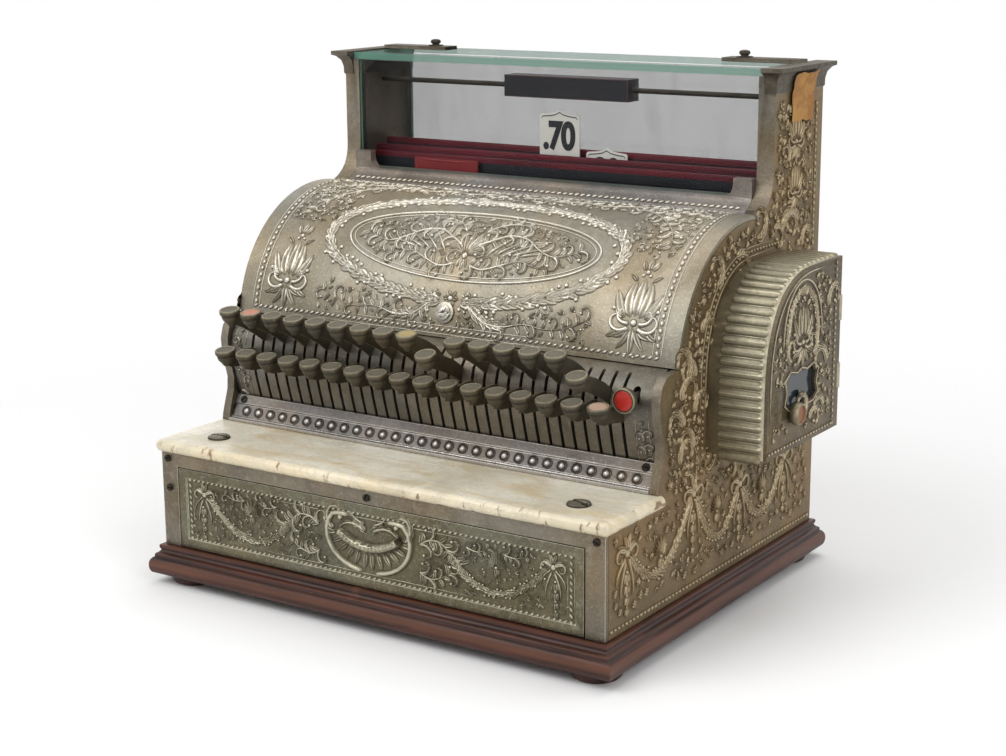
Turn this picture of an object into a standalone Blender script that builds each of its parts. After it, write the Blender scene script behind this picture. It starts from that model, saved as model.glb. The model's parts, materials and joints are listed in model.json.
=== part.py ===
# Counter register with a side ticket printer, in metres, +Z up.
# X = 0 is the cabinet's middle, Y = 0 its front face and Z = 0 the floor under its feet.
# An empty carries all of it to the middle of its own footprint.

import math

import bmesh
import bpy
from mathutils import Matrix, Vector

# Clearances, cuts and shading
GAP = 0.0003
SLIDE_GAP = 0.0005
OVERRUN = 0.004
OVERLAP = 0.001
MERGE = 0.00002
SHARP_ANGLE = math.radians(38)

# Cabinet
CABINET_WIDTH = 0.460
CABINET_DEPTH = 0.3764
FOOT_HEIGHT = 0.010
FOOT_RADIUS = 0.0215
FOOT_INSET = 0.018
FOOT_SIDES = 16
PLINTH_HEIGHT = 0.026
PLINTH_OVERHANG = 0.0117
PLINTH_RIM = 0.042
PLINTH_RECESS = 0.013
CASE_HEIGHT = 0.087
MARBLE_THICKNESS = 0.011
MARBLE_OVERHANG = 0.005
MARBLE_CLEARANCE = 0.015
MARBLE_ROUNDING = 0.003
KEYBOARD_HEIGHT = 0.0983

# Side castings
SIDE_WALL = 0.005
STRIP_WIDTH = 0.008
STRIP_PROJECTION = 0.0278
STRIP_DEPTH = 0.008
STRIP_DROP = 0.005
STRIP_STEPS = 1
POST_WIDTH = 0.016
POST_DEPTH = 0.010
REAR_POST_WIDTH = 0.010
REAR_POST_DEPTH = 0.0064
BOSS_RADIUS = 0.0085
BOSS_LENGTH = 0.012

# Lid
LID_RADIUS = 0.1245
LID_THICKNESS = 0.0035
LID_FRONT_ANGLE = math.radians(172)
LID_SEAM_ANGLE = math.radians(81)
LID_STEPS = 20
HINGE_INSET = 0.059
HINGE_LENGTH = 0.036
HINGE_BARREL = 0.0027
HINGE_SIDES = 10
PIN_RADIUS = 0.0007
PIN_LENGTH = 0.004
PIN_HOLE = 0.0012
PIN_SIDES = 6
LOCK_ANGLE = math.radians(162.1)
LOCK_RADIUS = 0.007
LOCK_RIM = 0.0095
LOCK_RIM_HEIGHT = 0.0016
LOCK_PROUD = 0.004
LOCK_LENGTH = 0.017
LOCK_SLOT = 0.0016
LOCK_SLOT_DEPTH = 0.0012
LOCK_NECK = 0.003
CAM_LENGTH = 0.022
CAM_WIDTH = 0.008
CAM_THICKNESS = 0.002

# Tower
TOWER_DEPTH = 0.0964
TOWER_HEIGHT = 0.100
FILLET_DEPTH = 0.0233
FILLET_HEIGHT = 0.034
FILLET_BOW = 0.009
FILLET_STEPS = 8
SILL_HEIGHT = 0.0115
SILL_DEPTH = 0.013
SILL_THICKNESS = 0.004
PAD_WIDTH = 0.018
PAD_HEIGHT = 0.0165
PAD_FOOT = 0.012
PAD_DEPTH = 0.008
PAD_STEPS = 5
CAPITAL_HEIGHT = 0.0225
CAPITAL_FLARE = 0.010
REAR_FLARE = 0.006
TOP_GLASS = 0.0065
TOP_GLASS_SINK = 0.001
PANE = 0.003
PANE_SET_BACK = 0.001
ARM_WIDTH = 0.020
ARM_REACH = 0.070
ARM_THICKNESS = 0.0035
ARM_DEPTH = 0.065

# Stud rail
RAIL_SEAT = 0.0045
RAIL_FOOT_HEIGHT = 0.003
RAIL_STEP_IN = 0.003
RAIL_RUN = 0.0115
RAIL_RISE = 0.0195
RAIL_THICKNESS = 0.0135
RAIL_GROOVE = 0.0012

# Comb
COMB_THICKNESS = 0.003
COMB_SHELF = 0.0095
SLOT_WIDTH = 0.003
SLOT_END = 0.0085
SLOT_HEAD = 0.0040
SLOT_FOOT = 0.016
ARCH_WIDTH = 0.0072
ARCH_HEIGHT = 0.013
ARCH_STEPS = 6

# Keys
KEY_COUNT = 33
KEY_MARGIN_LEFT = 0.026
KEY_MARGIN_RIGHT = 0.0171
PIVOT_BEHIND = 0.0604
PIVOT_HEIGHT = 0.032
LOWER_CAP_AHEAD = 0.0606
LOWER_CAP_DROP = 0.0213
UPPER_CAP_AHEAD = 0.0661
UPPER_CAP_LIFT = 0.0177
PRESS_ANGLE = math.radians(5.6)
PRESSED_KEYS = (10, 16)
CAP_RADIUS = 0.00925
CAP_HEIGHT = 0.0145
CAP_TILT = math.radians(10)
CAP_SIDES = 10
BLADE = 0.0022
HUB_RADIUS = 0.0085
BORE_SIDES = 6
SHAFT_RADIUS = 0.004
SHAFT_SIDES = 16
TAIL_LENGTH = 0.050
TAIL_DROP = 0.012
TAIL_WIDTH = 0.008

# Release button
BUTTON_RADIUS = 0.0105
BUTTON_THICKNESS = 0.008
BUTTON_RIM = 0.0014
BUTTON_AHEAD = 0.0426
BUTTON_DROP = 0.0203
BUTTON_LENGTH = 0.080
STEM_RADIUS = 0.003
BUTTON_SIDES = 16

# Front frame, drawer and back
FRAME_PLATE = 0.005
STILE = 0.018
TOP_BAR = 0.0122
DECK_THICKNESS = 0.0055
DRAWER_PLATE = 0.006
DRAWER_SET_BACK = 0.0006
DRAWER_BORDER = 0.0085
DRAWER_FIELD = 0.0014
TRAY_SIDE_ROOM = 0.0075
TRAY_HEAD_ROOM = 0.0085
TRAY_BACK_ROOM = 0.049
TRAY_WALL = 0.006
TRAY_DIVIDER = 0.005
TRAY_FLOOR = 0.005
TRAY_BAYS = 4
COIN_DEPTH = 0.090
COIN_ROUNDING = 0.014
BACK_PLATE = 0.0034
BACK_BORDER = 0.0015
BACK_BORDER_WIDTH = 0.014

# Indicator
INDICATOR_DROP = 0.0131
INDICATOR_FLOOR = 0.004
INDICATOR_BEHIND = 0.019
BAR_THICKNESS = 0.006
BAR_HEIGHT = 0.026
BAR_STEP = 0.005
CREDIT_ROOM = 0.009
BAR_ROOM = 0.0055
FLAG_ROOM = 0.0115
FLAG_THICKNESS = 0.0012
FLAG_WIDTH = 0.044
FLAG_HEIGHT = 0.063
FLAG_HEAD_ROOM = 0.01125
FLAG_TRAVEL = 0.033
FLAG_OGEE = 0.006
FLAG_ROD = 0.007
FLAG_ROD_LENGTH = 0.030
AMOUNT_PLACE = -0.0165
SECOND_PLACE = 0.035
CREDIT_WIDTH = 0.074
CREDIT_HEIGHT = 0.0225
CREDIT_FROM_SIDE = 0.1015
SIGN_DROP = 0.0076
SIGN_BEHIND = 0.053
SIGN_LENGTH = 0.135
SIGN_BLOCK = 0.0205
SIGN_ROD = 0.0025
SIGN_PLACE = -0.006

# Printer box
PRINTER_WIDTH = 0.055
PRINTER_BEHIND = 0.026
PRINTER_DEPTH = 0.141
PRINTER_LIFT = 0.017
PRINTER_HEIGHT = 0.150
PRINTER_WALL = 0.0025
PRINTER_CURVE_DEPTH = 0.085
PRINTER_CURVE_HEIGHT = 0.096
PRINTER_CURVE_POWER = 2.4
PRINTER_STEPS = 12
PRINTER_BAND = 0.011
RIB_COUNT = 28
RIB_WIDTH = 0.0056
RIB_PROUD = 0.0019
RIB_SIDES = 6
DOOR_THICKNESS = 0.003
DOOR_HINGE_LENGTH = 0.022
DOOR_HINGE_INSET = 0.034
DOOR_BARREL = 0.0026
WINDOW_INSET = 0.035
WINDOW_LENGTH = 0.059
WINDOW_LIFT = 0.036
WINDOW_HEIGHT = 0.029
KNOB_INSET = 0.047
KNOB_LIFT = 0.031
KNOB_RADIUS = 0.010
KNOB_PROUD = 0.009
KNOB_SHAFT = 0.004
KNOB_SHAFT_LENGTH = 0.010
KNOB_CAM = 0.014
OVAL_INSET = 0.017
OVAL_LIFT = 0.042
OVAL_LENGTH = 0.028
OVAL_WIDTH = 0.008
OVAL_PROUD = 0.003
SPINDLE_INSET = 0.087
SPINDLE_LIFT = 0.092
SPINDLE_RADIUS = 0.006
SPINDLE_LENGTH = 0.042
ROLL_RADIUS = 0.026
ROLL_WIDTH = 0.034
ROLL_SIDES = 24
ROLLER_INSET = 0.040
ROLLER_LIFT = 0.045
ROLLER_RADIUS = 0.009
ROLLER_LENGTH = 0.036

# Shares of the strip's projection and of the keyboard's height, from the lid's corner down
STRIP_SHARES = ((0.0, 0.0), (0.36, 0.012), (0.64, 0.035), (0.86, 0.10), (0.98, 0.21), (0.96, 0.33),
                (0.84, 0.48), (0.73, 0.60), (0.76, 0.72), (0.89, 0.83), (1.01, 0.93), (1.06, 1.0))
COMB_SHARES = ((0.07, 0.012), (0.31, 0.048), (0.54, 0.10), (0.74, 0.17), (0.84, 0.275),
               (0.79, 0.43), (0.65, 0.60), (0.49, 0.757), (0.38, 0.92))
# Shares of the plinth's overhang and height, and of a foot's radius and height, from the top down
PLINTH_SHARES = ((0.22, 1.0), (0.36, 0.96), (0.36, 0.86), (0.28, 0.82), (0.42, 0.72), (0.64, 0.66),
                 (0.64, 0.58), (0.86, 0.49), (1.0, 0.32), (0.97, 0.12), (0.84, 0.0))
FOOT_SHARES = ((0.90, 1.0), (0.93, 0.78), (1.0, 0.50), (0.86, 0.0))
# Shares of the capital's flare and height, from the bottom up
CAPITAL_SHARES = ((0.0, 0.0), (0.12, 0.05), (0.14, 0.34), (0.30, 0.60), (0.66, 0.78), (1.0, 0.84), (1.0, 1.0))
# Shares of the stud rail's slope and groove, from its foot up
RAIL_SHARES = ((0.0, 0.0), (0.06, 0.0), (0.08, 1.0), (0.60, 1.0), (0.62, 0.0), (1.0, 0.0))
# Shares of the cap's radius and height, from the top down
CAP_SHARES = ((0.96, 1.0), (1.0, 0.70), (0.36, 0.0))
# Shares of the distances from the pivot to the cap, ahead and up, from the cap back and from the pivot on
LOWER_TOP_SHARES = ((1.02, 0.84), (0.90, 0.86), (0.74, 0.90), (0.56, 0.80), (0.26, 0.46))
LOWER_FOOT_SHARES = ((0.56, 0.42), (0.78, 0.56), (0.94, 0.60), (1.03, 0.70))
UPPER_TOP_SHARES = ((1.00, 0.95), (0.88, 0.94), (0.68, 0.79), (0.53, 0.60), (0.37, 0.42), (0.17, 0.23))
UPPER_FOOT_SHARES = ((0.40, 0.29), (0.65, 0.565), (0.82, 0.73), (1.02, 0.87))
HUB_TOP_ANGLES = (math.radians(120), math.radians(75))
HUB_FOOT_ANGLES = (math.radians(-80), math.radians(-130))
# Shares of the button's and the knob's sizes
BUTTON_SKIRT_SHARE = 0.6
KNOB_SHARES = ((0.72, 1.0), (0.86, 0.90), (1.0, 0.62), (1.0, 0.38), (0.72, 0.0))
# Shares of half a flag's width and of its ogee's height, from the shoulder to the point
OGEE_SHARES = ((1.0, 0.0), (0.93, 0.30), (0.55, 0.42), (0.22, 0.62), (0.0, 1.0))
# Shares of the printer window's length and height, once round it
WINDOW_SHARES = ((0.10, 0.0), (0.90, 0.0), (1.0, 0.14), (0.95, 0.5), (1.0, 0.86), (0.88, 1.0), (0.66, 0.90),
                 (0.5, 1.0), (0.34, 0.90), (0.12, 1.0), (0.0, 0.86), (0.05, 0.5), (0.0, 0.14))
RIB_END_SHARE = 0.45

# Cast relief: low ridges, each sunk a little into the plate that carries it
RELIEF_HEIGHT = 0.0013
RELIEF_ROOT = 0.0006
RELIEF_STEPS = 5
FINE_RIDGE = 0.0017
LEAF_RIDGE = 0.0034
ROPE_RIDGE = 0.0026
RING_STEPS = 36
ROPE_INSET = 0.006
ROPE_END = 0.010
REAR_ROPE_INSET = 0.0139
RIM_OUTSET = 0.0085
PULL_HEIGHT = 0.0042
# Middle and half sizes of the lid's two rings, in shares of its half width and its arc
LID_OVAL_SHARES = ((0.013, 0.450), (0.567, 0.195))
LID_WREATH_SHARES = ((0.013, 0.455), (0.661, 0.296))
LID_LILY_SHARES = (0.79, 0.19, 0.28)
LID_ROPE_SHARE = 0.915
LID_ROPE_SPAN_SHARES = (0.033, 0.065, 0.90)
# Ridges of the lid's half: across, up, heading, length and bend, in the same shares and degrees
LID_RIDGE_SHARES = ((0.0, 0.37, 90, 0.20, 0), (0.08, 0.37, 10, 0.26, 120), (0.30, 0.38, 0, 0.22, 130),
                    (0.07, 0.46, 60, 0.13, -60), (0.09, 0.085, 0, 0.15, 40), (0.28, 0.12, -20, 0.16, 60),
                    (0.47, 0.10, 0, 0.13, 60), (0.72, 0.55, 60, 0.18, 80), (0.80, 0.55, 80, 0.16, -60),
                    (0.40, 0.80, 10, 0.18, 40))
# Half of a lily, in shares of its size
LILY_SHARES = ((0.0, 0.03, 90, 0.46, 0), (0.10, 0.0, 62, 0.42, 20), (0.10, -0.12, -5, 0.46, 170),
               (0.07, -0.20, -65, 0.24, 20))
# Knots of the sides' swags, in shares of the cabinet's depth and of the case's height
SIDE_KNOT_SHARES = ((0.086, 0.74), (0.377, 0.98), (0.603, 0.83), (0.837, 0.87))
SWAG_FOOT_SHARE = 0.10
DROP_SHARE = 0.50
# Rings and lily of the left side, in shares of the lid's radius, round a place above its centre
SIDE_RING_SHARES = (0.63, 0.66)
SIDE_RING_LIFT_SHARE = 0.056
SIDE_LILY_SHARE = 0.68
TOWER_LILY_SIZE = 0.034
TOWER_LILY_SHARES = ((0.43, 0.55), (0.43, 0.04))
# The drawer's swags and ridges, across in shares of its half width and up in shares of its field's height
DRAWER_SWAG_SHARES = ((0.86, 0.78), (0.64, -0.30), (0.42, 0.62))
DRAWER_RIDGE_SHARES = ((0.015, 0.12, 4, 1.23, 170), (0.90, 0.78, -90, 0.62, 0), (0.63, 0.72, -90, 0.38, 0),
                       (0.44, 0.28, 80, 0.90, 160))
DRAWER_PULL_SHARES = (0.168, 0.68, 0.30)

FINISHES = {
    "nickel": ((0.60, 0.57, 0.50), 0.34, 0.9),
    "olive_nickel": ((0.42, 0.38, 0.29), 0.42, 0.85),
    "bright_nickel": ((0.72, 0.71, 0.68), 0.22, 0.95),
    "key_bronze": ((0.30, 0.27, 0.21), 0.48, 0.7),
    "salmon_key": ((0.62, 0.38, 0.28), 0.5, 0.3),
    "mahogany": ((0.17, 0.055, 0.03), 0.38, 0.0),
    "tray_wood": ((0.42, 0.26, 0.13), 0.6, 0.0),
    "marble": ((0.86, 0.80, 0.66), 0.28, 0.0),
    "glass": ((0.80, 0.93, 0.89), 0.05, 0.0),
    "steel": ((0.42, 0.41, 0.39), 0.35, 0.9),
    "crimson": ((0.33, 0.02, 0.04), 0.3, 0.0),
    "black": ((0.03, 0.03, 0.035), 0.4, 0.0),
    "white_enamel": ((0.87, 0.86, 0.80), 0.35, 0.0),
    "red_enamel": ((0.62, 0.06, 0.06), 0.35, 0.0),
    "paper": ((0.84, 0.80, 0.70), 0.8, 0.0),
}
SALMON_KEYS = ("key_upper_02", "key_lower_17")

# Heights and half widths worked out from the sizes above
HALF_WIDTH = CABINET_WIDTH / 2
INNER_HALF = HALF_WIDTH - SIDE_WALL
ROOM_HALF = INNER_HALF - GAP
COMB_HALF = HALF_WIDTH - STRIP_WIDTH - GAP
PLINTH_TOP = FOOT_HEIGHT + PLINTH_HEIGHT
CASE_FOOT = PLINTH_TOP + GAP
CASE_TOP = PLINTH_TOP + CASE_HEIGHT
MARBLE_TOP = CASE_TOP + MARBLE_THICKNESS
LID_CORNER = MARBLE_TOP + KEYBOARD_HEIGHT
TOWER_FRONT = CABINET_DEPTH - TOWER_DEPTH

# The lid's circle, as (depth, height)
LID_INNER = LID_RADIUS - LID_THICKNESS
LID_MIDDLE = LID_RADIUS - LID_THICKNESS / 2
SEAM_END_ANGLE = LID_SEAM_ANGLE - (LID_THICKNESS / 2 + SLIDE_GAP) / LID_MIDDLE
CORNER_ANGLE = LID_FRONT_ANGLE + 2 * GAP / LID_RADIUS
LID_CENTRE = Vector((TOWER_FRONT - FILLET_DEPTH - LID_RADIUS * math.cos(SEAM_END_ANGLE),
                     LID_CORNER - LID_RADIUS * math.sin(LID_FRONT_ANGLE)))


def on_lid(angle, radius):
    return LID_CENTRE + Vector((math.cos(angle), math.sin(angle))) * radius


HINGE = on_lid(LID_SEAM_ANGLE, LID_MIDDLE)
SEAM_TOP = on_lid(SEAM_END_ANGLE, LID_RADIUS)
SEAM_BOTTOM = on_lid(SEAM_END_ANGLE, LID_INNER - GAP)
SHOULDER = on_lid(CORNER_ANGLE, LID_RADIUS)
LOCK_SEAT = on_lid(LOCK_ANGLE, LID_RADIUS)
LOCK_OUTWARD = Vector((0, math.cos(LOCK_ANGLE), math.sin(LOCK_ANGLE)))

LID_ARC = LID_RADIUS * (LID_FRONT_ANGLE - SEAM_END_ANGLE)

# Tower and indicator
SILL = SEAM_TOP.y + SILL_HEIGHT
CAPITAL_BASE = SEAM_TOP.y + TOWER_HEIGHT
CAPITAL_TOP = CAPITAL_BASE + CAPITAL_HEIGHT
GLASS_TOP = CAPITAL_TOP - TOP_GLASS_SINK
GLASS_FLOOR = GLASS_TOP - TOP_GLASS
SIGN_HEIGHT = CAPITAL_BASE - SIGN_DROP
SIGN_DEPTH = TOWER_FRONT + SIGN_BEHIND
INDICATOR_BASE = SILL - INDICATOR_DROP
INDICATOR_FRONT = TOWER_FRONT + INDICATOR_BEHIND
CREDIT_PLACE = CREDIT_FROM_SIDE - HALF_WIDTH
CREDIT_DEPTH = INDICATOR_FRONT + CREDIT_ROOM / 2
FIRST_BAR = INDICATOR_FRONT + CREDIT_ROOM
SECOND_BAR = FIRST_BAR + BAR_THICKNESS + BAR_ROOM
THIRD_BAR = SECOND_BAR + BAR_THICKNESS + FLAG_ROOM
FLAG_DEPTH = THIRD_BAR - FLAG_ROOM / 2
FLAG_TOP = SIGN_HEIGHT - SIGN_BLOCK / 2 - FLAG_HEAD_ROOM

# Keyboard
COMB_FOOT = SHOULDER.x - STRIP_PROJECTION * COMB_SHARES[-1][0]
MARBLE_BACK = COMB_FOOT - MARBLE_CLEARANCE
FIRST_KEY = KEY_MARGIN_LEFT - COMB_HALF
BUTTON_PLACE = COMB_HALF - KEY_MARGIN_RIGHT
KEY_PITCH = (BUTTON_PLACE - FIRST_KEY) / KEY_COUNT
KEY_PLACES = [FIRST_KEY + KEY_PITCH * i for i in range(KEY_COUNT)]
BUTTON_DEPTH = SHOULDER.x - BUTTON_AHEAD
BUTTON_HEIGHT = LID_CORNER - BUTTON_DROP
PIVOT = Vector((SHOULDER.x + PIVOT_BEHIND, MARBLE_TOP + PIVOT_HEIGHT))
LOWER_REACH = PIVOT_BEHIND + LOWER_CAP_AHEAD
LOWER_RISE = LID_CORNER - LOWER_CAP_DROP - PIVOT.y
UPPER_REACH = PIVOT_BEHIND + UPPER_CAP_AHEAD
UPPER_RISE = LID_CORNER + UPPER_CAP_LIFT - PIVOT.y

# Drawer
OPENING_HALF = HALF_WIDTH - STILE
OPENING_TOP = CASE_TOP - TOP_BAR
TRAY_FRONT = DRAWER_SET_BACK + DRAWER_PLATE + GAP
TRAY_BACK = CABINET_DEPTH - TRAY_BACK_ROOM
TRAY_TOP = OPENING_TOP - TRAY_HEAD_ROOM

# Printer box
PRINTER_SIDE = HALF_WIDTH + PRINTER_WIDTH
PRINTER_BACK = TOWER_FRONT + PRINTER_BEHIND
PRINTER_FRONT = PRINTER_BACK - PRINTER_DEPTH
PRINTER_FLOOR = MARBLE_TOP + PRINTER_LIFT
PRINTER_TOP = PRINTER_FLOOR + PRINTER_HEIGHT
DOOR_INNER = PRINTER_SIDE - DOOR_THICKNESS
DOOR_HINGE = Vector((PRINTER_SIDE - DOOR_THICKNESS / 2, PRINTER_BACK - DOOR_THICKNESS / 2))
KNOB = Vector((PRINTER_SIDE + GAP, PRINTER_FRONT + KNOB_INSET, PRINTER_FLOOR + KNOB_LIFT))
SPINDLE = Vector((HALF_WIDTH, PRINTER_FRONT + SPINDLE_INSET, PRINTER_FLOOR + SPINDLE_LIFT))
ROLLER = Vector((HALF_WIDTH, PRINTER_FRONT + ROLLER_INSET, PRINTER_FLOOR + ROLLER_LIFT))

LEFT_EDGE = -HALF_WIDTH - PLINTH_OVERHANG
RIGHT_EDGE = PRINTER_SIDE + KNOB_PROUD
MIDDLE = Vector(((LEFT_EDGE + RIGHT_EDGE) / 2, CABINET_DEPTH / 2, 0))

nodes = []

for item in list(bpy.data.objects):
    bpy.data.objects.remove(item, do_unlink=True)
parts = bpy.data.collections.new("ticket_register")
cutters = bpy.data.collections.new("cutters")
for collection in (parts, cutters):
    bpy.context.scene.collection.children.link(collection)
stand = bpy.data.objects.new("register_stand", None)
stand.location = -MIDDLE
parts.objects.link(stand)


# Working shapes: each starts as a guide among the cutters

def add_object(name, mesh):
    mesh.shade_smooth()
    mesh.set_sharp_from_angle(angle=SHARP_ANGLE)
    item = bpy.data.objects.new(name, mesh)
    item.hide_render = True
    item.display_type = "WIRE"
    item.parent = stand
    cutters.objects.link(item)
    return item


def mesh_from(bm, name):
    mesh = bpy.data.meshes.new(name)
    bm.to_mesh(mesh)
    bm.free()
    return mesh


def evaluated_mesh(item):
    depsgraph = bpy.context.evaluated_depsgraph_get()
    return bpy.data.meshes.new_from_object(item.evaluated_get(depsgraph))


def slab(name, axis, low, high, *outlines):
    """Flat outlines extruded along one axis, their points in the other two axes' alphabetical order."""
    curve = bpy.data.curves.new(name, "CURVE")
    curve.dimensions = "2D"
    curve.fill_mode = "BOTH"
    curve.extrude = (high - low) / 2
    for outline in outlines:
        spline = curve.splines.new("POLY")
        spline.points.add(len(outline) - 1)
        for point, place in zip(spline.points, outline):
            point.co = (place[0], place[1], 0, 1)
        spline.use_cyclic_u = True
    flat = bpy.data.objects.new(name, curve)
    cutters.objects.link(flat)
    bm = bmesh.new()
    bm.from_mesh(evaluated_mesh(flat))
    bpy.data.objects.remove(flat, do_unlink=True)
    bmesh.ops.remove_doubles(bm, verts=bm.verts, dist=MERGE)
    middle = (low + high) / 2
    if axis == "X":
        bm.transform(Matrix(((0, 0, 1, middle), (1, 0, 0, 0), (0, 1, 0, 0), (0, 0, 0, 1))))
    elif axis == "Y":
        bm.transform(Matrix(((1, 0, 0, 0), (0, 0, -1, middle), (0, 1, 0, 0), (0, 0, 0, 1))))
    else:
        bm.transform(Matrix.Translation((0, 0, middle)))
    return add_object(name, mesh_from(bm, name))


def box(name, low, high):
    low, high = Vector(low), Vector(high)
    bm = bmesh.new()
    bmesh.ops.create_cube(bm, size=1)
    bmesh.ops.scale(bm, vec=high - low, verts=bm.verts)
    bmesh.ops.translate(bm, vec=(low + high) / 2, verts=bm.verts)
    return add_object(name, mesh_from(bm, name))


def turn_to(axis):
    return Vector((0, 0, 1)).rotation_difference(Vector(axis)).to_matrix().to_4x4()


def rod(name, axis, start, length, radius, sides):
    """A round bar from a start point along an axis."""
    bm = bmesh.new()
    bmesh.ops.create_cone(bm, cap_ends=True, segments=sides, radius1=radius, radius2=radius, depth=length)
    bmesh.ops.translate(bm, vec=(0, 0, length / 2), verts=bm.verts)
    bm.transform(Matrix.Translation(start) @ turn_to(axis))
    return add_object(name, mesh_from(bm, name))


def turned(name, profile, sides, axis, place):
    """A profile of (radius, height), top to bottom, turned round an axis through a place."""
    points = [(0, profile[0][1])] + list(profile) + [(0, profile[-1][1])]
    mesh = bpy.data.meshes.new(name)
    mesh.from_pydata([(radius, 0, height) for radius, height in points],
                     [(i, i + 1) for i in range(len(points) - 1)], [])
    item = add_object(name, mesh)
    item.matrix_local = Matrix.Translation(place) @ turn_to(axis)
    screw = item.modifiers.new("turn", "SCREW")
    screw.steps = sides
    screw.render_steps = sides
    screw.use_merge_vertices = True
    screw.merge_threshold = MERGE
    return item


def moulded_block(name, low, high, profile):
    """A rectangle lofted up a profile of (left, right, front, back overhang, height)."""
    bm = bmesh.new()
    rings = []
    for left, right, front, back, height in profile:
        corners = ((low[0] - left, low[1] - front), (high[0] + right, low[1] - front),
                   (high[0] + right, high[1] + back), (low[0] - left, high[1] + back))
        rings.append([bm.verts.new((x, y, height)) for x, y in corners])
    for below, above in zip(rings, rings[1:]):
        for i in range(len(below)):
            after = (i + 1) % len(below)
            bm.faces.new((below[i], below[after], above[after], above[i]))
    bm.faces.new(list(reversed(rings[0])))
    bm.faces.new(rings[-1])
    return add_object(name, mesh_from(bm, name))


# Joining, cutting and finishing

def combine(item, others, operation):
    for other in others:
        boolean = item.modifiers.new(other.name, "BOOLEAN")
        boolean.operation = operation
        boolean.object = other
        boolean.solver = "EXACT"
    return item


def join(item, *others):
    return combine(item, others, "UNION")


def cut(item, *others):
    return combine(item, others, "DIFFERENCE")


def paint(item, finish_name):
    colour, roughness, metallic = FINISHES[finish_name]
    material = bpy.data.materials.new(item.name)
    material.use_nodes = True
    shader = material.node_tree.nodes["Principled BSDF"]
    shader.inputs["Base Color"].default_value = (*colour, 1)
    shader.inputs["Roughness"].default_value = roughness
    shader.inputs["Metallic"].default_value = metallic
    if not item.data.materials:
        item.data.materials.append(None)
    item.material_slots[0].link = "OBJECT"
    item.material_slots[0].material = material


def finish(item, name, finish_name, origin=None):
    """Make a guide one of the register's parts; an origin is where it turns or slides from."""
    item.name = name
    item.data.name = name
    if origin is not None:
        item.data.transform(Matrix.Translation(-Vector(origin)))
        item.location = origin
    item.hide_render = False
    item.display_type = "TEXTURED"
    cutters.objects.unlink(item)
    parts.objects.link(item)
    paint(item, finish_name)
    nodes.append(item)


# Lines of (depth, height) or (width, height) points

def smooth_through(points, steps):
    """Points of a Catmull-Rom curve through the given ones."""
    ends = [points[0] * 2 - points[1]] + points + [points[-1] * 2 - points[-2]]
    line = []
    for a, b, c, d in zip(ends, ends[1:], ends[2:], ends[3:]):
        for i in range(steps):
            t = i / steps
            line.append((b * 2 + (c - a) * t + (a * 2 - b * 5 + c * 4 - d) * t ** 2
                         + (b * 3 - a - c * 3 + d) * t ** 3) / 2)
    return line + [points[-1]]


def bezier(start, bend, end, steps):
    """Points of a curve that leaves its start towards a bend and reaches its end from there."""
    start, bend, end = Vector(start), Vector(bend), Vector(end)
    line = []
    for i in range(steps + 1):
        t = i / steps
        line.append(start * (1 - t) ** 2 + bend * 2 * t * (1 - t) + end * t ** 2)
    return line


def arc(centre, radius, start, end, steps):
    angles = [start + (end - start) * i / steps for i in range(steps + 1)]
    return [Vector(centre) + Vector((math.cos(a), math.sin(a))) * radius for a in angles]


def rectangle(left, foot, right, top):
    return [(left, foot), (right, foot), (right, top), (left, top)]


def bore_radius(radius, sides):
    """Corner radius of a many-sided bore whose flats clear a round bar."""
    return (radius + GAP) / math.cos(math.pi / sides)


def below_shoulder(depth_share, height_share):
    drop = SHOULDER.y - MARBLE_TOP - GAP
    return Vector((SHOULDER.x - STRIP_PROJECTION * depth_share, SHOULDER.y - drop * height_share))


STRIP_LINE = smooth_through([below_shoulder(*shares) for shares in STRIP_SHARES], STRIP_STEPS)
FILLET_LINE = bezier(SEAM_TOP, (TOWER_FRONT, SEAM_TOP.y + FILLET_BOW),
                     (TOWER_FRONT, SEAM_TOP.y + FILLET_HEIGHT), FILLET_STEPS)


# Cast relief

def bent(start, heading, length, bend):
    """A path of the given length whose heading turns evenly by the bend, both in degrees."""
    place = Vector(start)
    path = [place.copy()]
    for i in range(RELIEF_STEPS):
        angle = math.radians(heading + bend * (i + 0.5) / RELIEF_STEPS)
        place += Vector((math.cos(angle), math.sin(angle))) * length / RELIEF_STEPS
        path.append(place.copy())
    return path


def ellipse(middle, radii, steps):
    return [Vector((middle[0] + radii[0] * math.cos(2 * math.pi * i / steps),
                    middle[1] + radii[1] * math.sin(2 * math.pi * i / steps))) for i in range(steps)]


def straight(start, end, steps):
    return [Vector(start).lerp(Vector(end), i / steps) for i in range(steps + 1)]


def scaled(path, across, up):
    return [Vector((p[0] * across, p[1] * up)) for p in path]


def ridge(skin, path, width, closed=False, height=RELIEF_HEIGHT):
    """A low ridge along a path on a skin; an open one runs out to a point at both ends."""
    bm = bmesh.new()
    rings = []
    for i, (u, v) in enumerate(path):
        if not closed and i in (0, len(path) - 1):
            rings.append([bm.verts.new(skin(u, v, -RELIEF_ROOT))])
            continue
        along = path[(i + 1) % len(path)] - path[i - 1]
        across = Vector((-along.y, along.x)).normalized() * width
        rings.append([bm.verts.new(skin(u - across.x, v - across.y, -RELIEF_ROOT)),
                      bm.verts.new(skin(u, v, height)),
                      bm.verts.new(skin(u + across.x, v + across.y, -RELIEF_ROOT))])
    pairs = list(zip(rings, rings[1:]))
    if closed:
        pairs.append((rings[-1], rings[0]))
    for low, high in pairs:
        corners = max(len(low), len(high))
        for i in range(corners):
            after = (i + 1) % corners
            face = [low[i], low[after]] if len(low) > 1 else [low[0]]
            face += [high[after], high[i]] if len(high) > 1 else [high[0]]
            bm.faces.new(face)
    bmesh.ops.triangulate(bm, faces=bm.faces)
    bmesh.ops.recalc_face_normals(bm, faces=bm.faces)
    return add_object("ridge", mesh_from(bm, "ridge"))


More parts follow.
